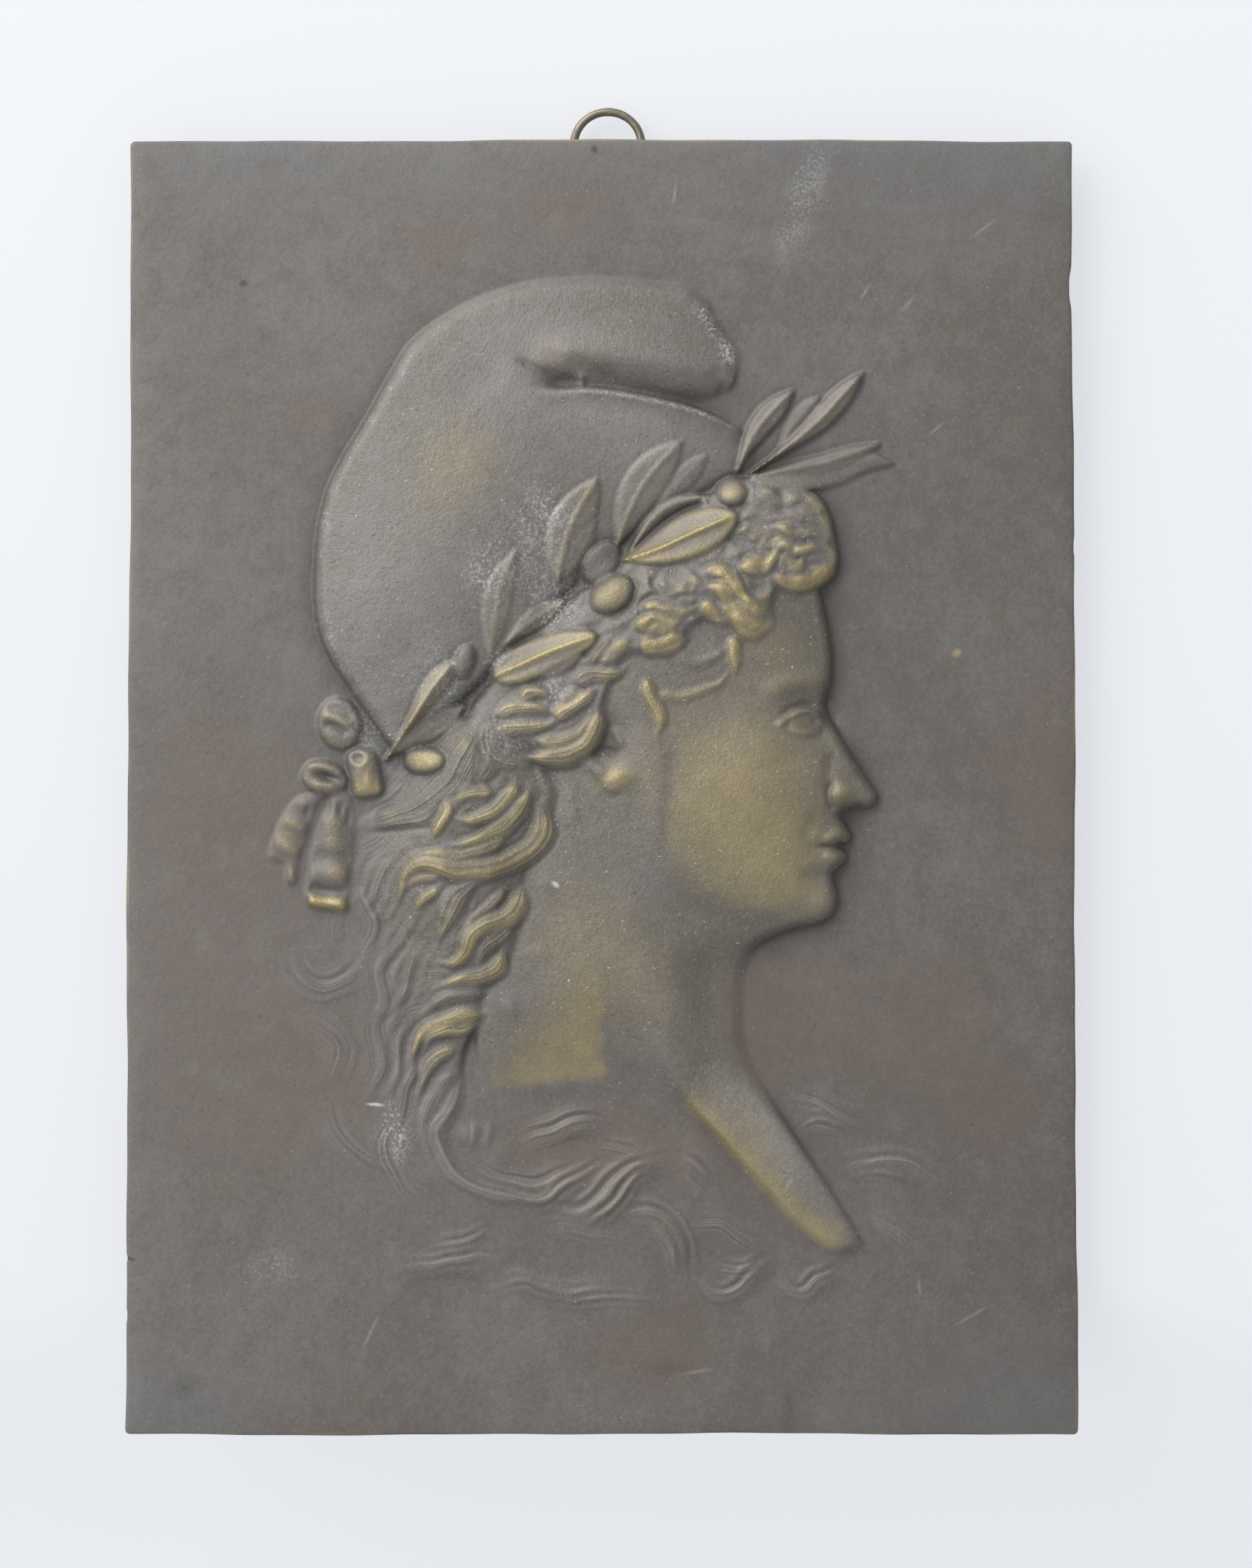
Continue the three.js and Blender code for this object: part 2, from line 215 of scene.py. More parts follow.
forehead = [(30, 62), (50, 61), face(0, -0.6), face(0.05, -0.12), face(0, 0.13)]
nose = [face(0.14, 0.45), face(0.36, 0.8), face(0.43, 0.92), face(0.37, 1.01), face(0.24, 1.03),
        face(0.13, 1.06)]
lips = [face(0.15, 1.13), face(0.205, 1.23), face(0.19, 1.3), face(0.12, 1.335), face(0.165, 1.38),
        face(0.17, 1.45), face(0.1, 1.52), face(0.05, 1.58)]
chin = [face(0.075, 1.68), face(0.09, 1.8), face(0.04, 1.92), face(-0.1, 2), face(-0.3, 2.04)]
profile = forehead + nose + lips + chin
throat = [(40, -41), (36.8, -46), (35.6, -55), (36.4, -66)]
bust_front = [(42, -78), (50, -90.5), (58, -102.5), (66, -116)]
bust_cut = [(65, -118.5), (58, -119), (48.5, -112.5), (39, -102.5), (30, -92.5), (21, -83.5), (12, -79),
            (0, -77.5), (-14, -79), (-28, -82)]
nape = [(-32, -62), (-28, -40), (-22, -20), (-18, 0), (-16, 30), (8, 58)]
body = inside(profile + throat + bust_front + bust_cut + nape)
cut_slope = ease(away_from(bust_cut, 30) / (3.5 + 24 * ease(-across, -26, 0)), 0, 1)
soft_throat = ease(-up, 36, 48) * (1 - ease(-up, 70, 88)) * ease(across, 16, 28)
lowness = ease(-up, 20, 76)
bust_fall = ease(up + 70 - 0.35 * (across - 36), -48, 6) * (1 - 0.4 * lowness * ease(-across, -34, -8))
figure = mound(body, 2.7 - 2 * soft_throat, 2.2 + 7 * soft_throat, 4.6, 20, 5)
relief += figure * (0.48 + 0.52 * bust_fall) * (0.06 + 0.94 * cut_slope)
jaw = inside(profile + [(34, -35.5), (18, -27), (8.5, -12), (2, 6), (-4, 24), (8, 50)])
relief += 1.9 * even(ease(jaw, -3, 12), 2) * ease(body, 0, 2.5)

relief += hump(*face(-0.62, 0.72), 15, 13, 1.3)
relief += hump(*face(-0.13, 0.28), 6, 4.6, -2.3, -12)
relief += hump(*face(0.02, 0.2), 2.6, 4, -0.8)
relief += ridge([face(0.06, -0.02), face(-0.12, -0.07), face(-0.38, -0.02), face(-0.6, 0.12)], 5.5, 0.9)
relief += hump(*face(-0.35, 0.62), 7, 3.4, -0.35, 25)
relief += hump(*face(0.17, 0.55), 3, 7, 0.7, 22)
relief += ridge([face(0.03, 0.5), face(0, 0.74), face(-0.02, 0.95)], 3.4, -0.7)
relief += hump(*face(0.12, 0.9), 2.9, 2.6, 1.5)
relief += ridge([face(0.06, 0.76), face(0, 0.88), face(0.03, 1), face(0.1, 1.04)], 1.4, -0.9, 0.25)
relief += hump(*face(0.33, 0.9), 2.6, 2.8, 0.5)
relief += ridge([face(0.16, 1.01), face(0.25, 1), face(0.31, 0.98)], 1.3, -1.2, 0.35)
relief += ridge([face(-0.06, 1.02), face(-0.16, 1.2), face(-0.18, 1.36)], 4, -0.45, 0.35)
relief += ridge([face(0.17, 1.25), face(0.06, 1.245), face(-0.06, 1.3)], 2.6, 0.8, 0.35)
relief += ridge([face(0.14, 1.44), face(0.04, 1.44), face(-0.05, 1.38)], 3.2, 0.95, 0.35)
between_lips = [face(0.17, 1.335), face(0.06, 1.335), face(-0.04, 1.335), face(-0.1, 1.345)]
relief += ridge(between_lips, 0.9, -1.1, 0.12)
relief += hump(*face(-0.12, 1.345), 1.4, 1.3, -0.6)
relief += ridge([face(0.03, 1.6), face(-0.1, 1.6), face(-0.25, 1.55)], 3.6, -0.7, 0.4)
relief += hump(*face(-0.04, 1.82), 4.6, 4.4, 0.9)
relief += ridge([face(-0.35, 1.93), (34, -31.5), (20, -24.5), (11, -12)], 7, 0.5)
relief += hump(30, 20, 9, 8, -0.5)

# The eye from the side: a ball between two lids that meet behind it
eye_x, eye_z = face(-0.2, 0.3)
relief += 1.5 * dome(np.clip(oval(eye_x + 0.6, eye_z, 4.6, 3.6), 0, 1))
upper_lid = [(4, 1), (2.4, 2.9), (-0.6, 2.9), (-3.8, 1.2), (-7.4, -1.6)]
lower_lid = [(2.8, -2.3), (0.4, -2.7), (-2.6, -2), (-5.4, -0.9)]
lid_fold = [(3.6, 3.4), (1.2, 4.9), (-3, 4), (-7, 1)]


def by_the_eye(line, right=0, higher=0):
    """A line that is given from the middle of the eye."""
    return [(eye_x + x + right, eye_z + z + higher) for x, z in line]


relief += ridge(by_the_eye(upper_lid), 1.7, 0.85, 0.15)
relief += ridge(by_the_eye(upper_lid[:-1], -0.4, -1.2), 0.9, -0.5, 0.15)
relief += ridge(by_the_eye(lower_lid), 1.3, 0.5, 0.25)
relief += ridge(by_the_eye(lower_lid, -0.2, 0.9), 0.8, -0.35, 0.25)
relief += ridge(by_the_eye(lid_fold), 1.3, -0.55, 0.25)
relief += hump(eye_x + 2.6, eye_z + 0.3, 0.9, 1.1, -0.35)

# The neck: one long muscle from behind the ear to the throat
relief += ridge([(2, -18), (10, -38), (20, -56), (30, -70)], 12, 0.55)
relief += ridge([(26, -40), (28, -52), (31, -64)], 9, -0.45)

# Soft cap: full at the back, its top turned over forwards above a deep hollow

cap = inside([(-58, 16), (-64, 24.5), (-69.5, 33), (-72.3, 43), (-72.4, 58), (-70.5, 71), (-66.5, 81),
              (-60, 92), (-54, 103), (-48.5, 112), (-40, 118.7), (-29, 124.3), (-16, 127.8), (0, 128.6),
              (12, 127.6), (21, 126.6), (27, 122.8), (30, 116.5), (33.6, 112), (34.9, 108), (33.6, 102.5),
              (31, 97.5), (33, 92.5), (36, 89), (38, 80), (22, 70), (6, 60), (-8, 48), (-22, 33), (-36, 20),
              (-50, 8)])
cap_back = ease(-across - 0.6 * (up - 60), -10, 50)
cloth = mound(cap, 0.9 + 2.3 * cap_back, 6.5 - 3.7 * cap_back, 6.2, 19, 6)
cloth *= 1 - 0.3 * ease(across - 0.25 * (up - 90), 14, 44)
cloth += hump(-34, 72, 26, 34, 0.8, -20) * (cap > 0)
fold = [(-18, 98), (-11, 98.8), (-5, 99), (4, 98.2), (14, 96.4), (24, 94), (35, 90)]
patch, distance, along, side = beside(curve(fold), 18)
above_fold = distance * side
under_top = np.exp(-((above_fold - 1.7) / np.where(above_fold < 1.7, 0.9, 4.4)) ** 2)
turned_top = np.exp(-((above_fold - 9.5) / 4.5) ** 2) - 0.3 * np.exp(-((above_fold + 3.6) / 2.2) ** 2)
thin_edge = np.exp(-((above_fold + 0.3) / 0.7) ** 2) * ease(along, 0.1, 0.35)
cloth[patch] += (1.3 * turned_top - 3.2 * under_top + 0.7 * thin_edge) * ease(along, 0, 0.2)
cloth += hump(-11, 101.6, 6, 2.4, -1.3, -8) + ridge([(-22, 107.6), (-17, 104.6), (-11, 102.6)], 2, -0.9)
cloth += ridge([(-9, 107.6), (-2, 104.4), (6, 102.6)], 4, -0.9, 0.35)
cloth += ridge([(-16, 109), (-9, 106.4), (-4, 103.6)], 3, -0.5, 0.35)
cloth += ridge([(-5, 104), (-5, 99)], 1.3, 1)
cloth += ridge([(28, 106), (30.4, 101), (31, 96)], 5, -0.8, 0.3) * ease(cap, -2, 2)
cloth += ridge([(-22, 106), (-30, 103), (-40, 96)], 12, -0.5, 0.4)
cloth += ridge([(-50, 30), (-58, 42), (-61, 58)], 16, 0.5, 0.4)
lay(cloth, cap + 0.2)

# Hair: a mass at the brow and temple and a long fall behind the neck, both laid with locks

brow_hair = inside([(34, 76.5), (46, 75.6), (54, 73.6), (57.6, 69), (59.2, 63), (60.2, 56), (58, 50.6),
                    (52, 48.2), (45.5, 49), (43.2, 44), (42, 39), (38, 37.2), (33, 39.2), (28, 41),
                    (23, 38.5), (20, 34), (13, 32.2), (7, 31.5), (3.6, 26), (1.4, 20), (0.6, 13), (-2, 7.6),
                    (-8, 4.6), (-16, 3.8), (-26, 3), (-34, 8), (-34, 18), (-22, 32), (-6, 48), (10, 60)])
lay(np.maximum(relief, 0) + 1.5 * ease(brow_hair, 0, 2) + 0.6 * ease(brow_hair, 0, 9), brow_hair)
lay(mound(brow_hair, 3.2, 2.4, 4, 12), brow_hair)

fall = inside([(-11.5, -1), (-12.4, -8), (-14.4, -15), (-18.6, -21), (-20.4, -28), (-20.6, -34), (-22, -41),
               (-25, -48), (-29.5, -53), (-30, -60), (-34, -66), (-35.4, -74), (-36.4, -82), (-39, -90),
               (-42, -97), (-47, -90), (-49.5, -72), (-50, -58), (-54, -45), (-60, -32), (-62, -18),
               (-60, -6), (-54, 5), (-42, 14), (-30, 17), (-18, 8)])
fall_back = [(-46, -98), (-48, -84), (-50, -72), (-51, -58), (-55, -45), (-61, -32), (-63, -18), (-61, -6),
             (-55, 5)]
fall_slope = ease(away_from(fall_back, 26), 0, 24) * (0.1 + 0.9 * ease(up, -100, -40))
over_neck = np.where(across > -34, np.minimum(relief + 1.1 * ease(fall, 0, 2.5), 8.2), 0)
lay(np.maximum(mound(fall, 2.6, 1.6, 5.4, 9) * fall_slope, over_neck), fall)
relief -= 0.35 * np.exp(-((fall + 0.5) / 0.8) ** 2) * (across > -36) * ease(up, -92, -70)
hair = ease(np.maximum(brow_hair, fall), -1, 2)
strand += 0.9 * loose_up + 0.35 * loose_across + 1.4 * np.sin(loose_across / 3.4)
strand -= np.where(fall > 0, 0.8 * loose_across, 0)
hairy += 0.35 * hair


def lock(points, width, rise, strands=0, root=0.2, tip=0.55, groove=0.5, least=0.25, gold=0.75):
    """A lock of hair: it swells from its root, thins to its tip, and is drawn out in fine strands."""
    patch, distance, along, side = beside(curve(points), width * 1.4, loose=True)
    swelling = least + (1 - least) * ease(along, -0.02, root) * ease(1 - along, -0.02, tip)
    half = width / 2 * swelling
    u = distance * side / half
    fade = ease(along, 0, 0.12) * ease(1 - along, 0, 0.25)
    shape = np.clip(1 - u * u, 0, 1) ** 0.8
    lines = 0.5 - 0.5 * np.cos(np.pi * (max(strands, 1) + 1) * u + 2.5 * np.sin(3 * along))
    body = shape * (0.78 + 0.22 * lines)
    top = bed[patch] + rise * body * (0.2 + 0.8 * fade)
    near_edge = np.exp(-((distance - half) / 0.6) ** 2) * (distance > half * 0.7)
    fringe = 0.16 * lines * np.clip(1.8 - np.abs(u), 0, 1) * (np.abs(u) >= 1)
    relief[patch] += (fringe * min(rise, 1.2) - 0.55 * groove * near_edge) * fade
    relief[patch] = np.where(np.abs(u) < 1, np.maximum(relief[patch], top), relief[patch])
    rubbed = gold * fade * shape ** 1.5 * (0.45 + 0.55 * lines)
    worn[patch] = np.maximum(worn[patch] * np.where(np.abs(u) < 1, 0.4, 1), rubbed)
    strand[patch] = np.where(np.abs(u) < 1, u * width / 2 + 7 * points[0][0], strand[patch])
    hairy[patch] = np.where(np.abs(u) < 1, 0.3 + 0.7 * fade, hairy[patch])


# Over the ear and beside the bow
settle(1.2)
lock([(-59, -10), (-50, -7.5), (-43, -3.5), (-37, 3), (-33, 11), (-30, 18)], 15, 1.7, 0, 0.5, 0.35, 0.8,
     0.3, 0.15)
lock([(-31, -1), (-28.5, 4), (-27.5, 10), (-27, 15.5)], 6, 0.9, 0, 0.4, 0.4, gold=0.2)
lock([(-28.3, 16), (-28.8, 10.7), (-27, 6.7), (-23.5, 4.4), (-18.5, 3.8)], 5, 0.8, 2, gold=0.4)
lock([(-27, 17.3), (-23.3, 18.9), (-19.3, 19.2), (-15.3, 18.6), (-12, 17.2)], 4.4, 1.1, 2)
lock([(-27, 14.6), (-22.7, 13.8), (-18, 13.6), (-13.3, 14.6), (-10, 16)], 4.2, 1.1, 2)
lock([(-20, 20.6), (-17.5, 22.8), (-14.5, 22.6), (-12.6, 20.8)], 4.2, 1.2, 2)
lock([(-12.8, 15.4), (-10.2, 17.6), (-7.3, 19.6), (-4, 21.6), (-1.2, 23.6)], 5.2, 1.5, 2, tip=0.35)
lock([(-11, 19.8), (-8.6, 21.6), (-6.2, 24)], 3.2, 1.1, tip=0.3)
lock([(-17, 10.4), (-11.3, 10), (-6, 11.6), (-2.9, 15), (-2.6, 18.6)], 4.6, 1.2, 2)
lock([(-19, 6.2), (-13.3, 5.9), (-8.7, 6.8), (-4, 9), (-1.2, 12.4), (-0.6, 16.2), (-1.4, 20)], 5.6, 1.7, 3,
     0.25, 0.3)

# The fall behind the neck, from the nape down
lock([(-27, -2.2), (-31, -2.6), (-34.4, -3.6), (-38, -6)], 4.2, 1)
lock([(-21.3, 0.6), (-22.7, -3.4), (-26, -7.2), (-31.3, -9.4), (-37, -9.4)], 5.6, 1.5, 2)
lock([(-39, -4.8), (-38.6, -8), (-40.7, -11.3), (-43.6, -14.6)], 3.6, 1.3, tip=0.4)
lock([(-17.8, -1), (-19.6, -6), (-22.7, -10.2), (-27.3, -13.4), (-33.3, -15.6), (-40, -16)], 5.2, 1.5, 2)
lock([(-23.3, -13.6), (-29.5, -17.4), (-35.3, -18.8), (-40.7, -18), (-46, -18.6), (-50, -21.4)], 4, 1.3, 2)
lock([(-14.8, -5.6), (-13.9, -10), (-15.2, -14.4), (-18.6, -18), (-24.7, -20.8), (-30, -22.3),
      (-35.3, -22.3), (-40.7, -20.9), (-45.3, -20.9), (-48.7, -23.6), (-50.7, -28.7), (-53.6, -34.5)], 6.8,
     2, 4, 0.12, 0.6, gold=0.9)
lock([(-40.7, -23.6), (-45.6, -24.2), (-49.2, -27)], 3, 0.9)
lock([(-40.6, -26.6), (-43.6, -29), (-47, -32.4)], 3.4, 1.1)
lock([(-30, -25), (-35.5, -28), (-39, -34), (-41.6, -42)], 7, 1.2, root=0.35, gold=0.15)
lock([(-24.3, -26.6), (-28, -31.6), (-32, -34.2), (-35.6, -38.6)], 3.6, 1.1, 2, gold=0.5)
lock([(-20.4, -26.8), (-21.4, -31.4), (-24.2, -34.6), (-28.6, -36.2), (-32.2, -38.6), (-33.9, -43),
      (-36.7, -45.6), (-41.4, -45)], 6.2, 1.9, 3, 0.12, 0.5, gold=0.9)
lock([(-22.4, -36.6), (-25.4, -39.4), (-29.4, -42.8), (-31, -47)], 5, 1.2, gold=0.4)
lock([(-23.6, -42.8), (-26, -46.6), (-30.4, -48.6), (-36, -50), (-42, -52)], 5, 1.5, 3)
lock([(-29, -52.6), (-34, -53.6), (-40, -54.4), (-45, -58)], 4.4, 0.9, gold=0.2)
lock([(-29.4, -58), (-33.8, -58.7), (-37.5, -59.6), (-41.9, -61.2), (-45.2, -64.2), (-47, -68),
      (-47.6, -72)], 5.2, 1.7, 3, gold=0.9)
lock([(-31.4, -60.8), (-35.2, -62.2), (-38.8, -62.2), (-42.5, -64), (-44.6, -68)], 3.8, 1.3, 2)
lock([(-35.8, -67), (-38.8, -68), (-41.8, -69.8), (-44.4, -73), (-46, -79)], 4.2, 1.2, 2, gold=0.5)
lock([(-35.4, -71.6), (-38.8, -75), (-42, -79), (-44.2, -85), (-43.1, -91.2), (-40, -97), (-35.4, -101.4),
      (-28, -104.2)], 4.4, 0.5, 3, 0.15, 0.6, 0.1, gold=0.25)
lock([(-36, -73), (-36.4, -78.6), (-39, -83.4), (-41.2, -88), (-40.4, -93.4), (-37, -98.4), (-31.9, -101.8),
      (-25, -103.8), (-17.5, -104.8), (-11.3, -102.8), (-6.3, -99.6), (-0.6, -96.6)], 5, 0.5, 4, 0.12, 0.5,
     0.1, gold=0.25)
settle(1)
for x, z, wide, high, rise, turn in ((-7.4, -5, 1.4, 3.4, 0.4, 10), (-7, -8.6, 1.5, 1.7, 0.35, 0),
                                     (-14, -25.6, 4, 1.9, 0.5, -35), (-15.6, -43, 2.6, 2.2, 0.35, 0),
                                     (-22.8, -57, 1.6, 3.2, 0.7, 20)):
    relief += hump(x, z, wide, high, rise, turn)

# Wisps at the temple
settle(1)
lock([(13.6, 22), (19, 21.6), (25, 23), (30, 24.6), (32.6, 28.6)], 3.4, 0.6, 2, groove=0.15, gold=0.4)
lock([(10.6, 26.4), (12.6, 21.4), (14.6, 17.6), (14.4, 11)], 4.2, 1.4, 2, tip=0.4)
lock([(33.8, 37), (33.2, 32.6), (33.6, 26.8)], 4, 1.3, 2, tip=0.5)
lock([(18, 33), (23, 30), (28, 31), (32, 34)], 4, 0.5, groove=0.15, gold=0.1)

# The lobe of the ear, the rest of it under the hair
relief += hump(3, 12, 4.6, 6, -1.1)
relief += hump(3.4, 0.9, 4.4, 3.3, 1.7, 25)
relief += ridge([(-5, 6.4), (-1.6, 3.6), (1.6, 1.4)], 3.6, 1)
relief += ridge([(2.2, 14), (4.4, 11), (5.6, 8)], 2.2, 0.8)
relief += ridge([(-3, 6.6), (1, 8.2), (5, 6.4)], 2, -0.9)
relief += ridge([(-3, 2.6), (0, -1.6), (3.4, -3.4), (7, -1.8)], 1.6, -0.5)
worn += hump(3.4, 0.9, 4.2, 3.2, 0.75, 25)


def wisp(points, width, rise):
    """A thin strand in very low relief with a fainter one beside it, running out at both ends."""
    patch, distance, along, side = beside(curve(points), width * 3, loose=True)
    s = distance * side / width
    shape = 0.4 * np.exp(-s ** 2) + 0.6 * np.exp(-(s / 0.3) ** 2) - 0.3 * np.exp(-((s - 0.42) / 0.2) ** 2)
    shape += 0.4 * np.exp(-((s - 0.8) / 0.25) ** 2) + 0.3 * np.exp(-((s + 0.75) / 0.25) ** 2)
    fade = ease(along, 0, 0.45) * ease(1 - along, 0, 0.45)
    relief[patch] += 0.95 * rise * shape * fade
    worn[patch] = np.maximum(worn[patch], 0.25 * np.clip(shape, 0, 1) * fade * min(rise, 1))
    drawn = 0.6 * fade * np.exp(-s ** 2)
    strand[patch] = np.where(drawn > hairy[patch], distance * side + 7 * points[0][0], strand[patch])
    hairy[patch] = np.maximum(hairy[patch], drawn)


# Hair that runs out low under the neck
wisp([(-22, -91.6), (-14, -88.7), (-9, -86.2), (-4, -85.4), (3, -86.8)], 3.6, 0.9)
wisp([(-14, -89), (-7, -87.4), (-3, -86.8), (3, -88)], 2.2, 0.6)
wisp([(-24, -103.6), (-15, -105), (-10, -102.6), (-5, -99.2), (2, -95.4)], 3, 0.9)
wisp([(-34, -93), (-30, -98), (-23.8, -100.7), (-16.3, -101.2), (-9, -98.6), (-3, -95)], 3.4, 0.8)
wisp([(-32.4, -84), (-31.8, -88), (-32.6, -92.6)], 4.2, 0.8)
wisp([(-18, -106.6), (-12, -107.4), (-6, -108.4), (-1, -106), (3, -101), (8, -97.2), (14, -95.8),
      (20.4, -93.6)], 3.8, 1.2)
wisp([(-8, -109.2), (-1, -109.2), (4, -105.2), (7, -100.6), (11, -98), (17, -96.4)], 3, 0.9)
wisp([(-3, -91), (6, -92.4), (10, -94.6), (17, -94.6)], 2.6, 0.6)
wisp([(19, -93.4), (24, -95.8), (29, -101.4)], 3.2, 0.6)
wisp([(2, -109.6), (12, -108), (17, -110.4), (20, -115), (20.6, -120), (23, -127)], 3.4, 0.9)
wisp([(7, -111.6), (13, -111.4), (17, -115), (18.8, -119), (19.8, -125.6)], 2.6, 0.7)
wisp([(24, -122), (28.6, -128), (33.6, -127.4), (38, -123.2), (45, -118.6)], 3, 0.8)
wisp([(27, -121), (34.6, -122.8), (42, -119.6)], 2.4, 0.6)
wisp([(21, -111), (29, -111.4), (34, -114), (42, -119.4)], 2.8, 0.6)
wisp([(44, -121.6), (48, -127.6), (51.4, -127.6), (54.6, -124.6), (62, -121)], 2.8, 0.7)
wisp([(-54, -123.4), (-40.6, -121), (-32, -119.6), (-22, -121.6)], 2.8, 0.7)
wisp([(-46, -122.8), (-34, -122.4), (-25, -122.8)], 2.2, 0.4)
wisp([(-44, -117), (-34, -115), (-26, -112.6)], 2.4, 0.5)
wisp([(-33, -128), (-20, -125), (-15, -126.8), (-9, -128.4), (0, -127.4), (12, -127.8)], 2.6, 0.6)
wisp([(-20, -127.4), (-9, -129.8), (2, -129.6), (16, -130)], 2.4, 0.4)
wisp([(-18, -112), (-8, -112.4), (0, -113), (10, -115.4)], 3, 0.35)
wisp([(46, -78), (55, -81), (62, -84.6), (69, -87.6)], 3, 0.6)
wisp([(48, -88), (56, -85.2), (66, -87.4)], 2.6, 0.6)
wisp([(59, -97.4), (70, -95), (78, -96.2), (89, -103.4)], 3.2, 0.7)
wisp([(62, -98.8), (72, -98), (82, -101.6)], 2.2, 0.4)
wisp([(66, -109.6), (74, -112.8), (83, -119)], 3, 0.5)
relief += hump(-25, -94, 5, 4, 0.5)

# And behind the fall, as soft swirls
wisp([(-38, -25), (-45, -31), (-51, -40), (-58, -50)], 4, 0.8)
wisp([(-48, -14), (-54, -21), (-58, -30), (-62, -36)], 4, 0.7)
wisp([(-42, -36), (-47, -44), (-50, -53), (-55, -60)], 4, 0.8)
wisp([(-44, -57), (-51, -64), (-52, -74), (-56, -82)], 4, 0.6)
wisp([(-62, -6), (-66, -36), (-64, -46)], 4, 0.3)
wisp([(-40, -66), (-48, -74), (-50, -84), (-53, -92)], 4, 0.6)
wisp([(-70, -78), (-66, -88), (-60, -93.6), (-50, -98.6)], 4, 0.6)
wisp([(-78, -40), (-77, -47), (-72, -51), (-64, -49), (-57, -42)], 4, 0.5)
wisp([(-56, -18), (-60, -27), (-57, -37), (-62, -48)], 5, 0.6)
wisp([(-50, -40), (-56, -47), (-55, -56), (-60, -63)], 5, 0.6)
wisp([(-52, -54), (-57, -62), (-55, -72), (-60, -82)], 5, 0.5)
wisp([(-74, -58), (-66, -66), (-68, -77)], 4, 0.4)
wisp([(-48, -82), (-54, -90), (-51, -101), (-45, -108)], 4, 0.4)

# Curls over the brow
settle(1.4)
loose_across += 0.6 * unevenness(1.5, 5)
loose_up += 0.6 * unevenness(1.5, 6)
lock([(35, 72), (42, 73), (49, 72.4), (54.6, 69.4)], 7.5, 0.48, 2, groove=0.25, gold=0.1)
lock([(34.3, 66.4), (40, 68), (45.7, 66.4), (51.4, 67.4), (56, 65)], 6.2, 0.56, 2, groove=0.3, gold=0.3)
lock([(33, 62.6), (38.6, 63), (43, 62.4), (47, 63.8), (52, 63), (57, 61.6)], 5.8, 0.64, 2, groove=0.35,
     gold=0.5)
lock([(40, 60), (44.6, 60.4), (48.6, 58.7), (52.9, 59.4), (56.4, 58.6)], 4.8, 1.12, groove=1)
lock([(34, 53.2), (37.6, 54.4), (41, 54.4), (44.3, 57), (47, 58.6)], 5.2, 1.04, groove=1)
lock([(45.2, 55.8), (47.9, 54.2), (50.2, 55), (51.8, 57.4)], 3.5, 0.8, groove=1)
lock([(43.6, 51.8), (48.2, 50.3), (52.9, 50.8), (55.9, 53.2), (56.9, 57)], 5.8, 1.28, 2, tip=0.3)
lock([(20, 57), (27, 57.6), (33, 58.4), (38, 58)], 6.2, 0.56, 2, groove=0.3, gold=0.3)
lock([(14, 50), (20, 50.4), (26, 49), (30, 50.4)], 7.5, 0.48, 2, groove=0.3, gold=0.15)
lock([(25.6, 52.6), (30.2, 52.8), (32.9, 50), (34.4, 46.4), (37.1, 43.7), (40.7, 43.1), (42.2, 45.4)], 5.2,
     1.28, 2, tip=0.3)
lock([(25.6, 48.4), (29.8, 48), (32, 44.8), (34.3, 41), (38.4, 38.6), (41.6, 39.8), (42.6, 43)], 6, 1.28, 2,
     tip=0.3, gold=0.95)
lock([(24.4, 44.4), (28.2, 42.2), (31.4, 40.4)], 5, 1.04, gold=0.95)
lock([(10, 44.6), (16.4, 43.6), (21, 42.4), (25, 43.4)], 5, 0.72, 2, gold=0.5)
lock([(7.2, 39), (12.4, 40.6), (17.1, 40), (21.4, 40.8)], 5, 1.04, 2)
lock([(10.4, 37.6), (15, 37.8), (20, 38)], 3.8, 0.8)
lock([(9, 36), (12.6, 34.5), (17.1, 34.4), (21, 36.2)], 5.8, 1.2, 2, tip=0.35)
lock([(0.6, 29.4), (3, 33.2), (6.4, 36.6)], 5.5, 0.88, 2, gold=0.4)
lock([(-4, 29), (-0.6, 32.6), (2.4, 36.8)], 5.2, 0.88, 2, gold=0.4)
lock([(-7, 25.4), (-1.6, 27), (3.2, 27), (6.4, 29.4)], 5, 0.88, 2, gold=0.4)
hairy *= 1 - 0.75 * ease(up, 26, 34) * ease(across, -8, 4)

# Laurel wreath: leaves with a raised rib, and berries

settle(2.4)


def leaf(points, width, rise, belly=0.5, rib=0.4, rim=0.06, groove=0.14, blunt=1, lift=0, gold=0.6):
    """A laurel leaf along its rib: a lens outline, hollowed blades, a raised rib and a raised rim."""
    patch, distance, along, _ = beside(curve(points), width)
    swelling = np.sin(np.pi * np.clip(along, 0, 1) ** (math.log(0.5) / math.log(belly)))
    half = width / 2 * np.maximum(swelling, 0) ** (0.75 * blunt)
    half = np.maximum(half, 0.35)
    u = distance / half
    spine = np.exp(-(distance / 0.6) ** 2) * ease(1 - along, 0, 0.15)
    edge = np.exp(-((u - 0.8) / 0.2) ** 2) * (u < 1)
    top = bed[patch] + lift + rise * (0.8 * np.clip(1 - u ** 3, 0, 1) ** 0.7 + rim * edge + rib * spine)
    relief[patch] -= np.where(distance > half * 0.8, groove * np.exp(-((distance - half) / 0.8) ** 2), 0)
    relief[patch] = np.where(distance < half, np.maximum(relief[patch], top), relief[patch])
    rubbed = gold * np.clip(0.35 + 0.65 * spine + 0.2 * edge, 0, 1)
    worn[patch] = np.where(distance < half, rubbed, worn[patch])
    hairy[patch] = np.where(distance < half * 1.2, 0, hairy[patch])


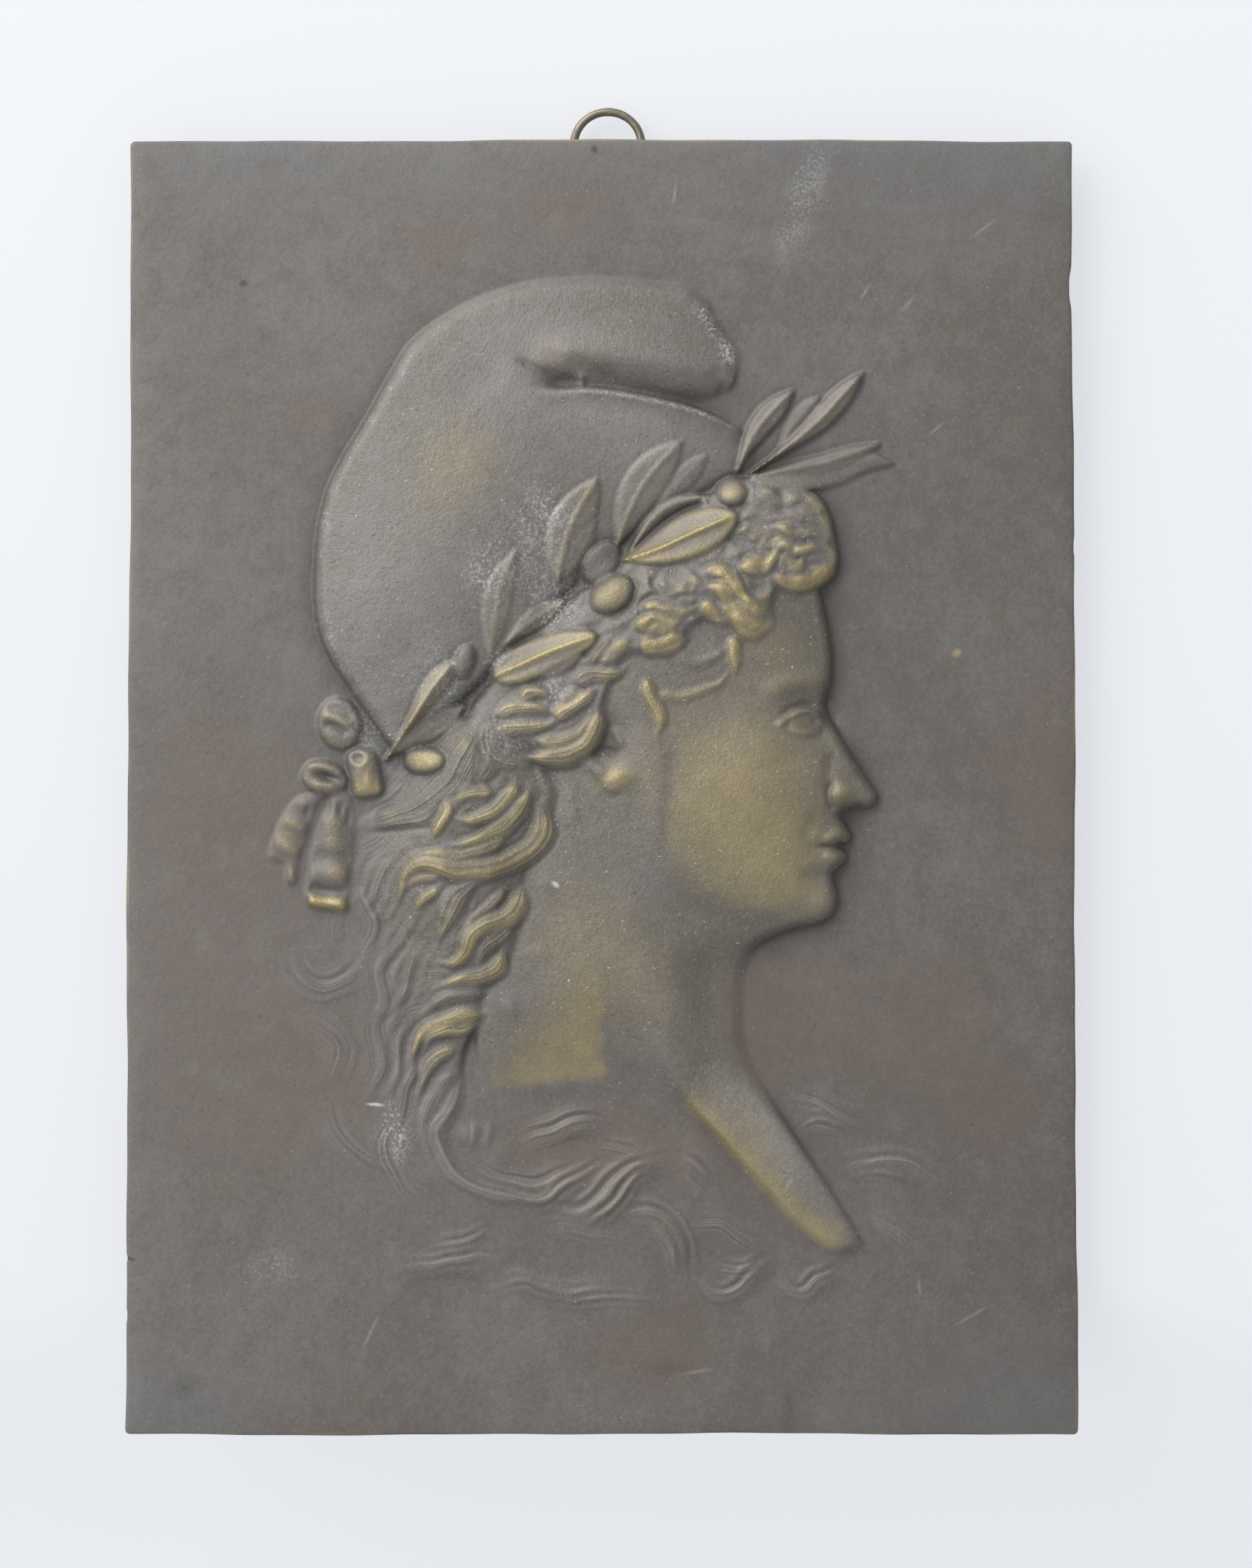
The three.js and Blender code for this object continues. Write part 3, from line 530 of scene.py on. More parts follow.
def berry(x, z, long, broad, turn, lift, rise, groove=0.3, gold=0.6):
    """An egg-shaped berry with a groove round its foot."""
    r = oval(x, z, long, broad, turn)
    round_top = dome(np.clip(r, 0, 1))
    relief[:] -= groove * np.exp(-((r - 1.05) / 0.13) ** 2)
    relief[:] = np.where(r < 1, np.maximum(relief, bed + lift + rise * round_top), relief)
    worn[:] = np.where(r < 1, gold * round_top ** 2, worn)
    hairy[:] = np.where(r < 1.2, 0, hairy)
    berries[:] = np.maximum(berries, ease(1 - r, 0, 0.3))


leaf([(34.5, 79), (37, 85), (41, 91.5), (48.6, 99.6)], 6.4, 1.5, 0.62, lift=0.2, gold=0.35)
leaf([(45, 85), (50, 92), (55.2, 98)], 5, 0.8, 0.6, rib=0.25, gold=0.2)
leaf([(38, 76.8), (48, 77.8), (58, 79.4), (66, 81.6), (74, 81)], 9, 1.1, 0.5, rib=0.1, rim=0.15, gold=0.05)
leaf([(38, 77.6), (50, 79.8), (58, 81.4), (70.6, 86)], 5.4, 1.4, 0.6, rib=0.3, gold=0.2)
leaf([(37.6, 78.4), (45.6, 84), (54, 90.6), (60.4, 97.4), (66.2, 104)], 6, 1.8, 0.7, lift=0.2, gold=0.4)
leaf([(14, 70), (20, 76), (26.6, 83)], 5.6, 0.7, 0.6, rib=0.25, gold=0.15)
leaf([(4, 60), (7.4, 69), (12, 77), (20.4, 86.4)], 10.5, 1.3, 0.55, gold=0.45)
leaf([(7.2, 58.6), (11.2, 64.4), (16, 69), (21.6, 71.6), (28.4, 72.4)], 3.6, 1.3, 0.5, 0.4, groove=0.1,
     gold=0.4)
leaf([(5.6, 56), (14, 58.6), (23.7, 63), (34, 67.4)], 12, 2, 0.62, 0.75, 0.12, blunt=0.7, lift=0.3,
     gold=0.75)
leaf([(-11, 50.4), (-9.6, 58), (-7, 66), (-1, 76.6)], 11, 1.3, 0.52, gold=0.55)
leaf([(-9, 52), (-5, 58.6), (-1.6, 66)], 5, 0.8, 0.5, rib=0.3, gold=0.4)
leaf([(-28, 32), (-26.6, 42), (-25, 50), (-21.4, 58.4)], 7.4, 0.8, 0.5, rib=0.4, gold=0.45)
leaf([(-24, 35), (-17.6, 40.6), (-9, 46)], 5.4, 1.2, 0.55, gold=0.5)
leaf([(-27, 26.8), (-20, 29.8), (-12, 33.2), (-1.2, 36.8)], 10, 2, 0.4, 0.6, 0.12, blunt=0.6, lift=0.3,
     gold=0.75)
leaf([(-20, 26.8), (-12, 28.6), (-5, 31.6)], 4, 0.9, 0.5, rib=0.3, gold=0.4)
leaf([(-54, 6.6), (-46, 11.6), (-40, 15.4), (-34.4, 19.6)], 5.6, 0.8, 0.6, rib=0.3, gold=0.3)
leaf([(-54.4, 6), (-48.7, 14), (-44, 21.2), (-40, 26.6), (-36.4, 30.6)], 5.6, 1.7, 0.75, rib=0.75, gold=0.8)
berry(-34.4, 30.2, 4.7, 2.7, 74, 0.2, 2.2, gold=0.4)
berry(-44.6, 5.6, 5.4, 3.5, 0, 0.2, 2.4)
berry(0, 55.6, 6, 4.1, 54, 0.4, 2.4, gold=0.2)
berry(2.6, 47.6, 5.9, 4.7, 38, 0.5, 2.5, gold=0.25)
berry(32.8, 73.4, 3.9, 3.8, 0, 0.4, 2.4, gold=0.25)
berry(26.2, 70.8, 1.1, 1, 0, 0.4, 1)

# Ribbon bow at the nape: two tails, a knot and two loops

tail = inside([(-63.4, -3), (-62.6, -10), (-63, -20), (-63.6, -29), (-64, -32.4), (-69, -32),
               (-74.4, -30.4), (-74, -22), (-72.4, -14), (-69.6, -6), (-67, -2)])
folds = 0.3 * np.cos((across + 68 + 0.16 * (up + 15)) / 9.5 * 2 * np.pi)
folds += 0.4 * np.cos((up + 31) / 8.2 * 2 * np.pi) * ease(-up, 12, 20)
hem = ridge([(-74, -29.6), (-69, -30.6), (-64.2, -31.2)], 3.2, 1, 0.05)
under_hem = ridge([(-74, -26.4), (-69, -27.2), (-64, -27.6)], 2.4, -0.8, 0.1)
lay(mound(tail, 0.7, 2, 1, 4) + folds * ease(tail, 0, 1.5) + hem + under_hem, tail)
for top, bottom in (((-68.4, -4), (-69.4, -10)), ((-65.8, -4), (-66, -9.6)), ((-63.6, -5), (-64, -12))):
    relief += ridge([top, bottom], 1.4, -0.8, 0.4)
worn += 0.8 * hem * (tail > 0)
side_tail = inside([(-70.4, -2.6), (-72.6, -8), (-74.4, -14), (-76.4, -20), (-77, -25.4), (-79.6, -25),
                    (-80, -20.4), (-84, -19), (-83, -14), (-80.4, -8), (-76.6, -3.4)])
ripples = 0.28 * np.cos((up + 0.5 * across + 49) / 6.6 * 2 * np.pi)
lay(mound(side_tail, 0.6, 2, 0.8, 4) + ripples * ease(side_tail, 0, 1.5), side_tail)
relief += ridge([(-73.6, -4.6), (-74.6, -9)], 1.4, -0.7, 0.4)
knot = inside([(-64.4, 7), (-61, 9), (-57.2, 7.6), (-55.4, 2), (-55, -2.6), (-58.4, -3.8), (-62.4, -3.6),
               (-63.8, 2)])
lay(mound(knot, 1.8, 3.4, 1.4, 3), knot)
dimple_rim = oval(-61.4, 6.2, 2.4, 1.9, -20) - 1
relief += hump(-61.4, 6.2, 1.5, 1.1, -1.3, -20) + 0.5 * np.exp(-(dimple_rim / 0.25) ** 2)
relief += (ridge([(-60.4, 4), (-60, 0), (-60.4, -3)], 1.6, -0.35)
           + ridge([(-57.6, 4.6), (-57.2, 0), (-57.6, -3)], 1.6, -0.35))
high_loop = oval(-66.3, 15, 5.5, 6.7, 12)
lay(0.4 + 1.7 * dome(np.clip(high_loop, 0, 1)), 1 - high_loop)
relief += ridge([(-70, 19), (-65.7, 18.4), (-62.4, 15.8)], 1.9, -0.55, 0.25)
relief += ridge([(-71.2, 17.4), (-67, 16.2), (-63, 13.8)], 2.2, 0.7, 0.2)
relief += ridge([(-70.8, 15.2), (-67, 14.1), (-63.6, 12.2)], 1.9, -1, 0.2)
low_loop = oval(-70, 1.3, 5.9, 4.5, -16)
lay(0.4 + 1.6 * dome(np.clip(low_loop, 0, 1)), 1 - low_loop)
relief += hump(-69.4, 1.5, 3.2, 1.1, -1.8, -12)
relief += ridge([(-74.8, 4), (-71, 4.4), (-67.5, 3), (-65, 1)], 1.9, 0.6, 0.2)
relief += ridge([(-73, -0.4), (-69.8, -1), (-66.4, -0.6)], 1.9, 0.5, 0.25)
loops = 6 * (1 - np.minimum(high_loop, low_loop))
bow = np.maximum(np.maximum(tail, side_tail), np.maximum(knot, loops))
near_bow = ease(bow, -2, 0)

# The casting is worn all over, rough in the hair, and its field is not quite flat
seam = even(1.0 * (np.hypot(*np.gradient(strand, GRID)) > 3), 0.5)
hairy *= np.clip(1 - 3 * seam, 0, 1) * (1 - near_bow)
crumbly = 1 + 2 * ease(up, 28, 38)
lumps = 0.1 * unevenness(0.8, 3) + 0.15 * unevenness(1.5, 4)
relief += hair * (1 - near_bow) * (hairy > 0) * crumbly * lumps
relief[:] = np.maximum(relief, even(relief, 3) - 1.7)
relief[:] = even(relief, 0.36)
relief += 0.12 * np.sin(across / 23 + 1.3 * np.sin(up / 41)) * np.sin(up / 29 + 0.7 + np.sin(across / 37))

# Mesh of the casting: a fine grid pressed to the relief, its rim pulled back to the rear face

CORNER = 1.4
ARRIS = 0.8
EDGE_LOSS = 0.3
REAR_BEVEL = 0.6
MOST_TRIANGLES = 190000
rim_steps = np.array([0, 0.08, 0.25, 0.5, 0.8])


def grid_line(size):
    """Places of the grid's lines across a size, closer together at the arris."""
    middle = np.arange(1 - size / 2, size / 2 - 1 + GRID / 2, GRID)
    return np.concatenate([rim_steps - size / 2, middle, size / 2 - rim_steps[::-1]])


def reading(field, x, z):
    """A field of the relief read at places between its grid points."""
    i = np.clip((x - columns[0]) / GRID, 0, len(columns) - 1.001)
    j = np.clip((z - rows[0]) / GRID, 0, len(rows) - 1.001)
    left, low = i.astype(int), j.astype(int)
    i, j = i - left, j - low
    lower = field[low, left] * (1 - i) + field[low, left + 1] * i
    upper = field[low + 1, left] * (1 - i) + field[low + 1, left + 1] * i
    return lower * (1 - j) + upper * j


def worn_edge(place, seed):
    """How far a hand-finished edge strays along its length."""
    long_waves = 0.22 * np.sin(place / 31 + seed) + 0.12 * np.sin(place / 11.7 + 2.1 * seed)
    return long_waves + 0.06 * np.sin(place / 4.3 + seed)


def nick(place, middle, half, depth):
    """A small loss in an edge."""
    return depth * ease(half - np.abs(place - middle), 0, half * 0.7)


def places(piece):
    """The places of all points of a piece, in its own unit."""
    found = np.empty(len(piece.data.vertices) * 3)
    piece.data.vertices.foreach_get("co", found)
    return found.reshape(-1, 3)


def set_places(piece, wanted):
    """Moves all points of a piece to their wanted places."""
    piece.data.vertices.foreach_set("co", wanted.ravel())
    piece.data.update()


x_lines = grid_line(PLATE_WIDTH)
z_lines = grid_line(PLATE_HEIGHT)
bpy.ops.object.select_all(action="DESELECT")
bpy.ops.mesh.primitive_grid_add(x_subdivisions=len(x_lines) - 1, y_subdivisions=len(z_lines) - 1, size=1)
plaque = bpy.context.object
plaque.name = "plaque_casting"
place = places(plaque)
x = x_lines[np.rint((place[:, 0] + 0.5) * (len(x_lines) - 1)).astype(int)]
z = z_lines[np.rint((place[:, 1] + 0.5) * (len(z_lines) - 1)).astype(int)]
height = reading(relief, x, z)

# Square corners drawn in to round ones
corner_x = np.clip((np.abs(x) - PLATE_WIDTH / 2 + CORNER) / CORNER, 0, 1)
corner_z = np.clip((np.abs(z) - PLATE_HEIGHT / 2 + CORNER) / CORNER, 0, 1)
x -= np.sign(x) * CORNER * corner_x * (1 - np.sqrt(1 - corner_z ** 2 / 2))
z -= np.sign(z) * CORNER * corner_z * (1 - np.sqrt(1 - corner_x ** 2 / 2))

# A rounded arris all round, and edges that are worn a little out of line
out_x = np.maximum(np.abs(x) - PLATE_WIDTH / 2 + CORNER, 0)
out_z = np.maximum(np.abs(z) - PLATE_HEIGHT / 2 + CORNER, 0)
to_edge = np.clip(CORNER - np.hypot(out_x, out_z), 0, None)
height -= ARRIS * (1 - dome(1 - np.clip(to_edge / ARRIS, 0, 1)))
right_edge = np.exp(-(PLATE_WIDTH / 2 - x) / 4)
left_edge = np.exp(-(PLATE_WIDTH / 2 + x) / 4)
top_edge = np.exp(-(PLATE_HEIGHT / 2 - z) / 4)
bottom_edge = np.exp(-(PLATE_HEIGHT / 2 + z) / 4)
right_chips = nick(z, 126, 6, 0.5) + nick(z, 60, 3, 0.2)
left_chips = nick(z, -119.6, 1.2, 0.2) + nick(z, -134, 2, 0.2)
right_stray = worn_edge(z, 0.4) - right_chips - EDGE_LOSS
left_stray = worn_edge(z, 2.2) - left_chips - EDGE_LOSS
x += right_stray * right_edge - left_stray * left_edge
z += (worn_edge(x, 1.1) - EDGE_LOSS) * top_edge - (worn_edge(x, 3.7) - EDGE_LOSS) * bottom_edge
place = np.column_stack([x + MIDDLE_X, PLATE_FRONT - height, z + MIDDLE_Z]) / 1000
set_places(plaque, place)

# The sides and the back: the rim drawn back to the rear arris, bevelled and closed
bpy.ops.object.mode_set(mode="EDIT")
bpy.ops.mesh.select_mode(type="EDGE")
bpy.ops.mesh.select_all(action="DESELECT")
bpy.ops.mesh.select_non_manifold(use_wire=False, use_multi_face=False, use_non_contiguous=False,
                                 use_verts=False)
middle = (MIDDLE_X / 1000, PLATE_BACK / 1000, MIDDLE_Z / 1000)
rear_arris = (PLATE_BACK - REAR_BEVEL) / 1000
bpy.ops.mesh.extrude_region_move(TRANSFORM_OT_translate={"value": (0, 0.003, 0)})
bpy.ops.transform.resize(value=(1, 0, 1), center_override=(middle[0], rear_arris, middle[2]))
bpy.ops.mesh.extrude_region_move(TRANSFORM_OT_translate={"value": (0, REAR_BEVEL / 1000, 0)})
drawn_in = (1 - 2 * REAR_BEVEL / PLATE_WIDTH, 1, 1 - 2 * REAR_BEVEL / PLATE_HEIGHT)
bpy.ops.transform.resize(value=drawn_in, center_override=middle)
bpy.ops.mesh.edge_face_add()
bpy.ops.mesh.select_all(action="SELECT")
bpy.ops.mesh.normals_make_consistent(inside=False)
bpy.ops.object.mode_set(mode="OBJECT")


def trim(piece, most):
    """Thins a mesh to the most triangles it may have, keeping the detail."""
    piece.data.calc_loop_triangles()
    bpy.context.view_layer.objects.active = piece
    bpy.ops.object.modifier_add(type="DECIMATE")
    piece.modifiers[-1].ratio = most / len(piece.data.loop_triangles)
    piece.modifiers[-1].use_collapse_triangulate = True
    bpy.ops.object.modifier_apply(modifier=piece.modifiers[-1].name)


trim(plaque, MOST_TRIANGLES)

# Lug on the back: a rounded ear with a cross bore for the ring, cast with the plate
LUG_RADIUS = 4
LUG_WIDTH = 4.5
LUG_BORE = 2.1
LUG_BEVEL = 0.5
LUG_ROOT = 0.4
LUG_Z = -16.6


def cross_bar(radius, length):
    """A round bar across the back, along X, at the lug."""
    bpy.ops.object.select_all(action="DESELECT")
    bpy.ops.mesh.primitive_cylinder_add(vertices=64, radius=radius / 1000, depth=length / 1000,
                                        location=(0, 0, LUG_Z / 1000), rotation=(0, math.pi / 2, 0))
    bpy.ops.object.transform_apply()
    return bpy.context.object


def cut(piece, tool, operation):
    """Joins a tool to a piece or cuts it away, and drops the tool."""
    bpy.context.view_layer.objects.active = piece
    bpy.ops.object.modifier_add(type="BOOLEAN")
    piece.modifiers[-1].operation = operation
    piece.modifiers[-1].object = tool
    bpy.ops.object.modifier_apply(modifier=piece.modifiers[-1].name)
    bpy.data.objects.remove(tool)


lug = cross_bar(LUG_RADIUS, LUG_WIDTH)
bpy.ops.object.select_all(action="DESELECT")
neck_depth = (-PLATE_BACK + LUG_ROOT) / 1000
bpy.ops.mesh.primitive_cube_add(size=1, location=(0, -neck_depth / 2, LUG_Z / 1000),
                                scale=(LUG_WIDTH / 1000, neck_depth, LUG_RADIUS * 2 / 1000))
bpy.ops.object.transform_apply()
cut(lug, bpy.context.object, "UNION")
cut(lug, cross_bar(LUG_BORE, LUG_WIDTH * 2), "DIFFERENCE")
bpy.context.view_layer.objects.active = lug
bpy.ops.object.modifier_add(type="BEVEL")
lug.modifiers[-1].width = LUG_BEVEL / 1000
lug.modifiers[-1].segments = 3
lug.modifiers[-1].limit_method = "ANGLE"
bpy.ops.object.modifier_apply(modifier=lug.modifiers[-1].name)
bpy.ops.object.select_all(action="DESELECT")
lug.select_set(True)
plaque.select_set(True)
bpy.context.view_layer.objects.active = plaque
bpy.ops.object.join()
bpy.ops.object.shade_smooth_by_angle(angle=math.radians(55))

# Wear, dirt and painted light, kept on the mesh: gold on rubbed relief, grime and painted shade in hollows,
# pale dust by the leaves and a painted highlight along the cap's fold

proud = relief - even(relief, 2.2)
hair_and_wreath = ease(relief, 0.8, 2.5)
worn += 0.5 * ease(proud, 0.12, 0.8) * hair_and_wreath * ease(np.maximum(brow_hair, fall), -2, 2)
rubbed_ribbon = 0.45 * ease(proud, 0.15, 0.7) + hump(-80, -13, 4, 8, 0.3, 20) + hump(-59, -1, 4, 4, 0.3)
worn += near_bow * (rubbed_ribbon + hump(-66, -14, 3, 9, 0.2))
on_face = ease(jaw, -2, 8)
worn += on_face * (hump(34, -4, 27, 26, 0.62) + hump(46, -26, 16, 12, 0.3) + hump(46, 34, 14, 9, 0.25))
worn += on_face * ease(proud, 0.12, 0.6) * 0.3
on_neck = ease(body, 0, 4) * (1 - on_face)
patch_edge = 1.5 * np.sin(up / 3.1) + np.sin(up / 1.3 + 1)
gold_patch = ease(1.5 + 0.4 * patch_edge - across, 0, 2.5)
gold_patch *= ease(up - 0.12 * across + 0.5 * patch_edge, -78, -71)
gold_patch *= ease(-up + 0.35 * across, 42, 66) * ease(across - 0.5 * (up + 62), -36, -12)
worn += on_neck * (0.5 * gold_patch + hump(12, -50, 18, 24, 0.26) + hump(-8, -40, 14, 20, 0.28))
wedge_strip = ridge([(17, -79), (24, -85), (34, -95), (44, -105.5), (54, -114), (62, -118)], 11, 1, 0.12)
rubbed_point = 0.55 * wedge_strip + hump(60, -114.5, 7, 6, 0.2, -40) + hump(40, -88, 8, 16, 0.3, 40)
worn += ease(body, 0, 2) * rubbed_point
rubbed_cap = hump(-36, 80, 12, 15, 0.28, -30) + hump(-45, 62, 24, 42, 0.12, -20)
worn += ease(cap, 2, 12) * (rubbed_cap + hump(-9, 107, 12, 4, 0.3, -12))
stain = ridge([(17, 15), (16.4, 4), (15, -10), (14.4, -22)], 4, 1, 0.25)
worn *= (1 - 0.6 * stain) * (1 - 0.25 * berries)
worn[:] = np.clip(even(worn, 0.5), 0, 1)

# Grime and painted shade: darker in the hollows and round the foot of the relief, and on the stain and the
# berries
sunk = even(relief, 1.4) - relief
grime_and_shade = np.clip(0.9 * ease(sunk, 0.05, 0.75) + 0.45 * ease(even(relief, 5) - relief, 0.3, 2.2), 0, 1)
grime_and_shade = np.clip(even(grime_and_shade, 0.5) + 0.35 * stain + 0.5 * berries, 0, 1)

dust_and_highlight = np.zeros_like(relief)
for x, z, size, amount in ((-13, 68, 5, 0.8), (-30, 52, 4, 0.7), (-11, 44, 5, 0.8), (-26, 30, 2.4, 0.9),
                           (-12, 23, 3, 0.7), (-20, 56, 10, 0.45), (-40, 26, 8, 0.4), (-25, 12, 5, 0.4),
                           (-60, 12, 5, 0.4), (-52, -88, 4, 0.5)):
    dust_and_highlight += hump(x, z, size, size * 1.3, amount, 20)
dust_and_highlight += ridge([(24, 123.6), (28, 117), (31.6, 111.6), (32.6, 105)], 4, 1, 0.15) * ease(cap, 0.6, 2)
# Painted highlight: pale along the lip under the cap's fold
dust_and_highlight += ridge(fold[1:], 1.5, 0.6, 0.2) * ease(cap, 0.6, 2)
dust_and_highlight += 0.5 * np.exp(-((cap - 2.4) / 1.6) ** 2) * ease(-across, 30, 60) * np.clip(unevenness(1.2, 7), 0, 1)
dust_and_highlight = np.clip(dust_and_highlight, 0, 1)

place = places(plaque) * 1000
front = place[:, 1] < PLATE_FRONT + 0.5
for name, field in (("worn", worn), ("grime_and_shade", grime_and_shade), ("dust_and_highlight", dust_and_highlight), ("strand", strand), ("hairy", hairy)):
    layer = plaque.data.attributes.new(name, "FLOAT", "POINT")
    values = np.where(front, reading(field, place[:, 0] - MIDDLE_X, place[:, 2] - MIDDLE_Z), 0)
    layer.data.foreach_set("value", values.astype(np.float32))

# Patinated bronze: brown patina with a grey bloom over gold metal


class Shade:
    """A socket of a material: arithmetic on it adds Math nodes, and node() adds any other node."""

    def __init__(self, tree, socket):
        self.tree = tree
        self.socket = socket

    def node(self, kind, settings, values, output=0):
        made = self.tree.nodes.new(kind)
        for name, value in settings.items():
            setattr(made, name, value)
        for name, value in values.items():
            if isinstance(value, Shade):
                self.tree.links.new(value.socket, made.inputs[name])
            else:
                made.inputs[name].default_value = value
        return Shade(self.tree, made.outputs[output])

    def math(self, operation, first, second=0):
        return self.node("ShaderNodeMath", {"operation": operation}, {0: first, 1: second})

    def __add__(self, other):
        return self.math("ADD", self, other)

    def __sub__(self, other):
        return self.math("SUBTRACT", self, other)

    def __rsub__(self, other):
        return self.math("SUBTRACT", other, self)

    def __mul__(self, other):
        return self.math("MULTIPLY", self, other)

    __radd__ = __add__
    __rmul__ = __mul__

    def above(self, low, high):
        return self.node("ShaderNodeMapRange", {"interpolation_type": "SMOOTHSTEP"},
                         {"Value": self, "From Min": low, "From Max": high})

    def noise(self, scale, detail=4, roughness=0.55):
        return self.node("ShaderNodeTexNoise", {},
                         {"Vector": self, "Scale": scale, "Detail": detail, "Roughness": roughness})

    def attribute(self, name):
        return self.node("ShaderNodeAttribute", {"attribute_name": name}, {}, "Fac")

    def spot(self, x, z, wide, high, turn=0):
        """1 at a place on the front and 0 from the rim of an oval round it, in mm."""
        oval = self.node("ShaderNodeMapping", {"vector_type": "TEXTURE"},
                         {"Vector": self, "Location": ((x + MIDDLE_X) / 1000, 0, (z + MIDDLE_Z) / 1000),
                          "Rotation": (0, -math.radians(turn), 0), "Scale": (wide / 1000, 1, high / 1000)})
        return self.node("ShaderNodeTexGradient", {"gradient_type": "SPHERICAL"}, {"Vector": oval}, "Fac")

    def mix(self, first, second):
        return self.node("ShaderNodeMix", {"data_type": "RGBA"}, {0: self, 6: first, 7: second}, 2)


def new_finish(piece, name):
    """An empty material on a piece, and the piece's own coordinates in it."""
    material = bpy.data.materials.new(name)
    material.use_nodes = True
    material.node_tree.nodes.clear()
    piece.data.materials.clear()
    piece.data.materials.append(material)
    coordinates = material.node_tree.nodes.new("ShaderNodeTexCoord")
    return Shade(material.node_tree, coordinates.outputs["Object"])


def show(surface):
    """Makes a shader the surface of its material."""
    end = surface.tree.nodes.new("ShaderNodeOutputMaterial")
    surface.tree.links.new(surface.socket, end.inputs["Surface"])


BROWN_PATINA = (0.080, 0.067, 0.057, 1)
GREY_BLOOM = (0.105, 0.098, 0.090, 1)
REDDISH_PATINA = (0.094, 0.067, 0.053, 1)
OLIVE_PATINA = (0.092, 0.083, 0.064, 1)
OLIVE_BLOOM = (0.126, 0.115, 0.098, 1)
PALE_BLOOM_AND_LIGHT = (0.163, 0.151, 0.142, 1)
MAUVE_PATINA = (0.112, 0.095, 0.090, 1)
BLUE_GREY_BLOOM = (0.098, 0.099, 0.100, 1)
DARK_GRIME_AND_SHADE = (0.036, 0.033, 0.029, 1)
RUBBED_GOLD = (0.300, 0.238, 0.105, 1)
PALE_DUST_AND_HIGHLIGHT = (0.300, 0.300, 0.285, 1)

at = new_finish(plaque, "patinated_bronze_finish")
rubbed = at.attribute("worn")
dirt_and_shade = at.attribute("grime_and_shade")
dust_and_highlight_mask = at.attribute("dust_and_highlight")
drawn = at.attribute("hairy")
fine_lines = at.node("ShaderNodeTexNoise", {"noise_dimensions": "1D"},
                     {"W": at.attribute("strand"), "Scale": 0.8, "Detail": 2, "Roughness": 0.5})
lines = fine_lines.above(0.35, 0.65)
cloud = at.noise(13, 2)
mottle = at.noise(48, 3)
blotches = at.noise(190, 4, 0.65)
grain = at.noise(900, 3, 0.7)
grit = at.noise(1500, 2, 0.6).above(0.36, 0.64)
specks = at.noise(1300, 2, 0.5)
sides = at.node("ShaderNodeSeparateXYZ", {}, {0: at}, "X") * 1000 - MIDDLE_X
rise = at.node("ShaderNodeSeparateXYZ", {}, {0: at}, "Y") * -1000 + PLATE_FRONT
ends = at.node("ShaderNodeSeparateXYZ", {}, {0: at}, "Z") * 1000 - MIDDLE_Z
raised = rise.above(0.2, 2.5)
on_front = rise.above(-1, -0.5)

# The patina: brown under a grey bloom, redder and bluer in places, olive and mauve on the relief
bloom_and_painted_light = cloud.above(0.3, 0.7) * 0.3 + mottle.above(0.3, 0.7) * 0.3 + (blotches - 0.5) * 1.4
bloom_and_painted_light = bloom_and_painted_light + (grain - 0.5) * (raised * 1.5 + 2)
# Painted light: the bloom is lighter towards the left and the top
bloom_and_painted_light = bloom_and_painted_light + at.spot(-110, 20, 130, 300) * 0.5 + at.spot(0, 158, 110, 44) * 0.5
base = bloom_and_painted_light.mix(BROWN_PATINA, GREY_BLOOM)
reddish = at.noise(19, 4).above(0.5, 0.72) * 0.3
for x, z, wide, high in ((40, -56, 30, 24), (78, -60, 34, 26), (98, -82, 16, 14), (12, -144, 24, 16),
                         (-70, -76, 28, 34), (-98, -10, 34, 56), (-8, 146, 22, 14), (-40, 140, 20, 14),
                         (-72, 94, 11, 11), (114, 4, 18, 44), (0, -92, 44, 16), (-100, -70, 30, 50)):
    reddish = reddish + at.spot(x, z, wide, high) * 0.9
base = (reddish * (blotches * 2.4 - 0.6)).mix(base, REDDISH_PATINA)
bluish = at.spot(95, 172, 110, 52) + at.spot(-95, 172, 80, 34) * 0.8
bluish = bluish + at.spot(112, -168, 70, 40) + at.spot(-118, -168, 40, 36)
base = (bluish * 0.7).mix(base, BLUE_GREY_BLOOM)
olive = bloom_and_painted_light.mix(OLIVE_PATINA, OLIVE_BLOOM)
base = (raised * 0.6 + at.noise(120, 2).above(0.52, 0.75) * 0.4).mix(base, olive)
base = (raised * at.noise(55, 4, 0.65).above(0.46, 0.66) * 0.6).mix(base, MAUVE_PATINA)
# Pale bloom on the cap and the bust's point, partly painted light that lightens their shaded sides
pale_bloom_and_light = at.spot(10, 86, 62, 34, -25) + at.spot(-46, 48, 50, 50) * 0.7 + at.spot(45, -92, 28, 10, -51) * 1.2
base = (pale_bloom_and_light * raised * (blotches * 0.8 + grain * 0.8 - 0.1)).mix(base, PALE_BLOOM_AND_LIGHT)
pits = at.noise(1100, 1).above(0.68, 0.75)
stains_and_shade = at.spot(-105, -152, 7, 4, 20) + at.spot(15, -147, 8, 3) + at.spot(47, -158, 3, 9)
stains_and_shade = stains_and_shade + at.spot(-91, 127, 1.6, 1.3) * 3
stains_and_shade = stains_and_shade + at.spot(-1.8, 161.2, 1.3, 1.5, 20) * 3 + at.spot(-118.6, -119.7, 2.4, 0.7, -15) * 3
# Painted highlight: pale along the drawn strands, off the relief
base = (drawn * lines * (1 - raised) * 0.55).mix(base, PALE_BLOOM_AND_LIGHT)
# Painted shade: darker towards the lower right, on top of the stains
stains_and_shade = (stains_and_shade + at.spot(122, -150, 80, 90) * 0.4) * on_front
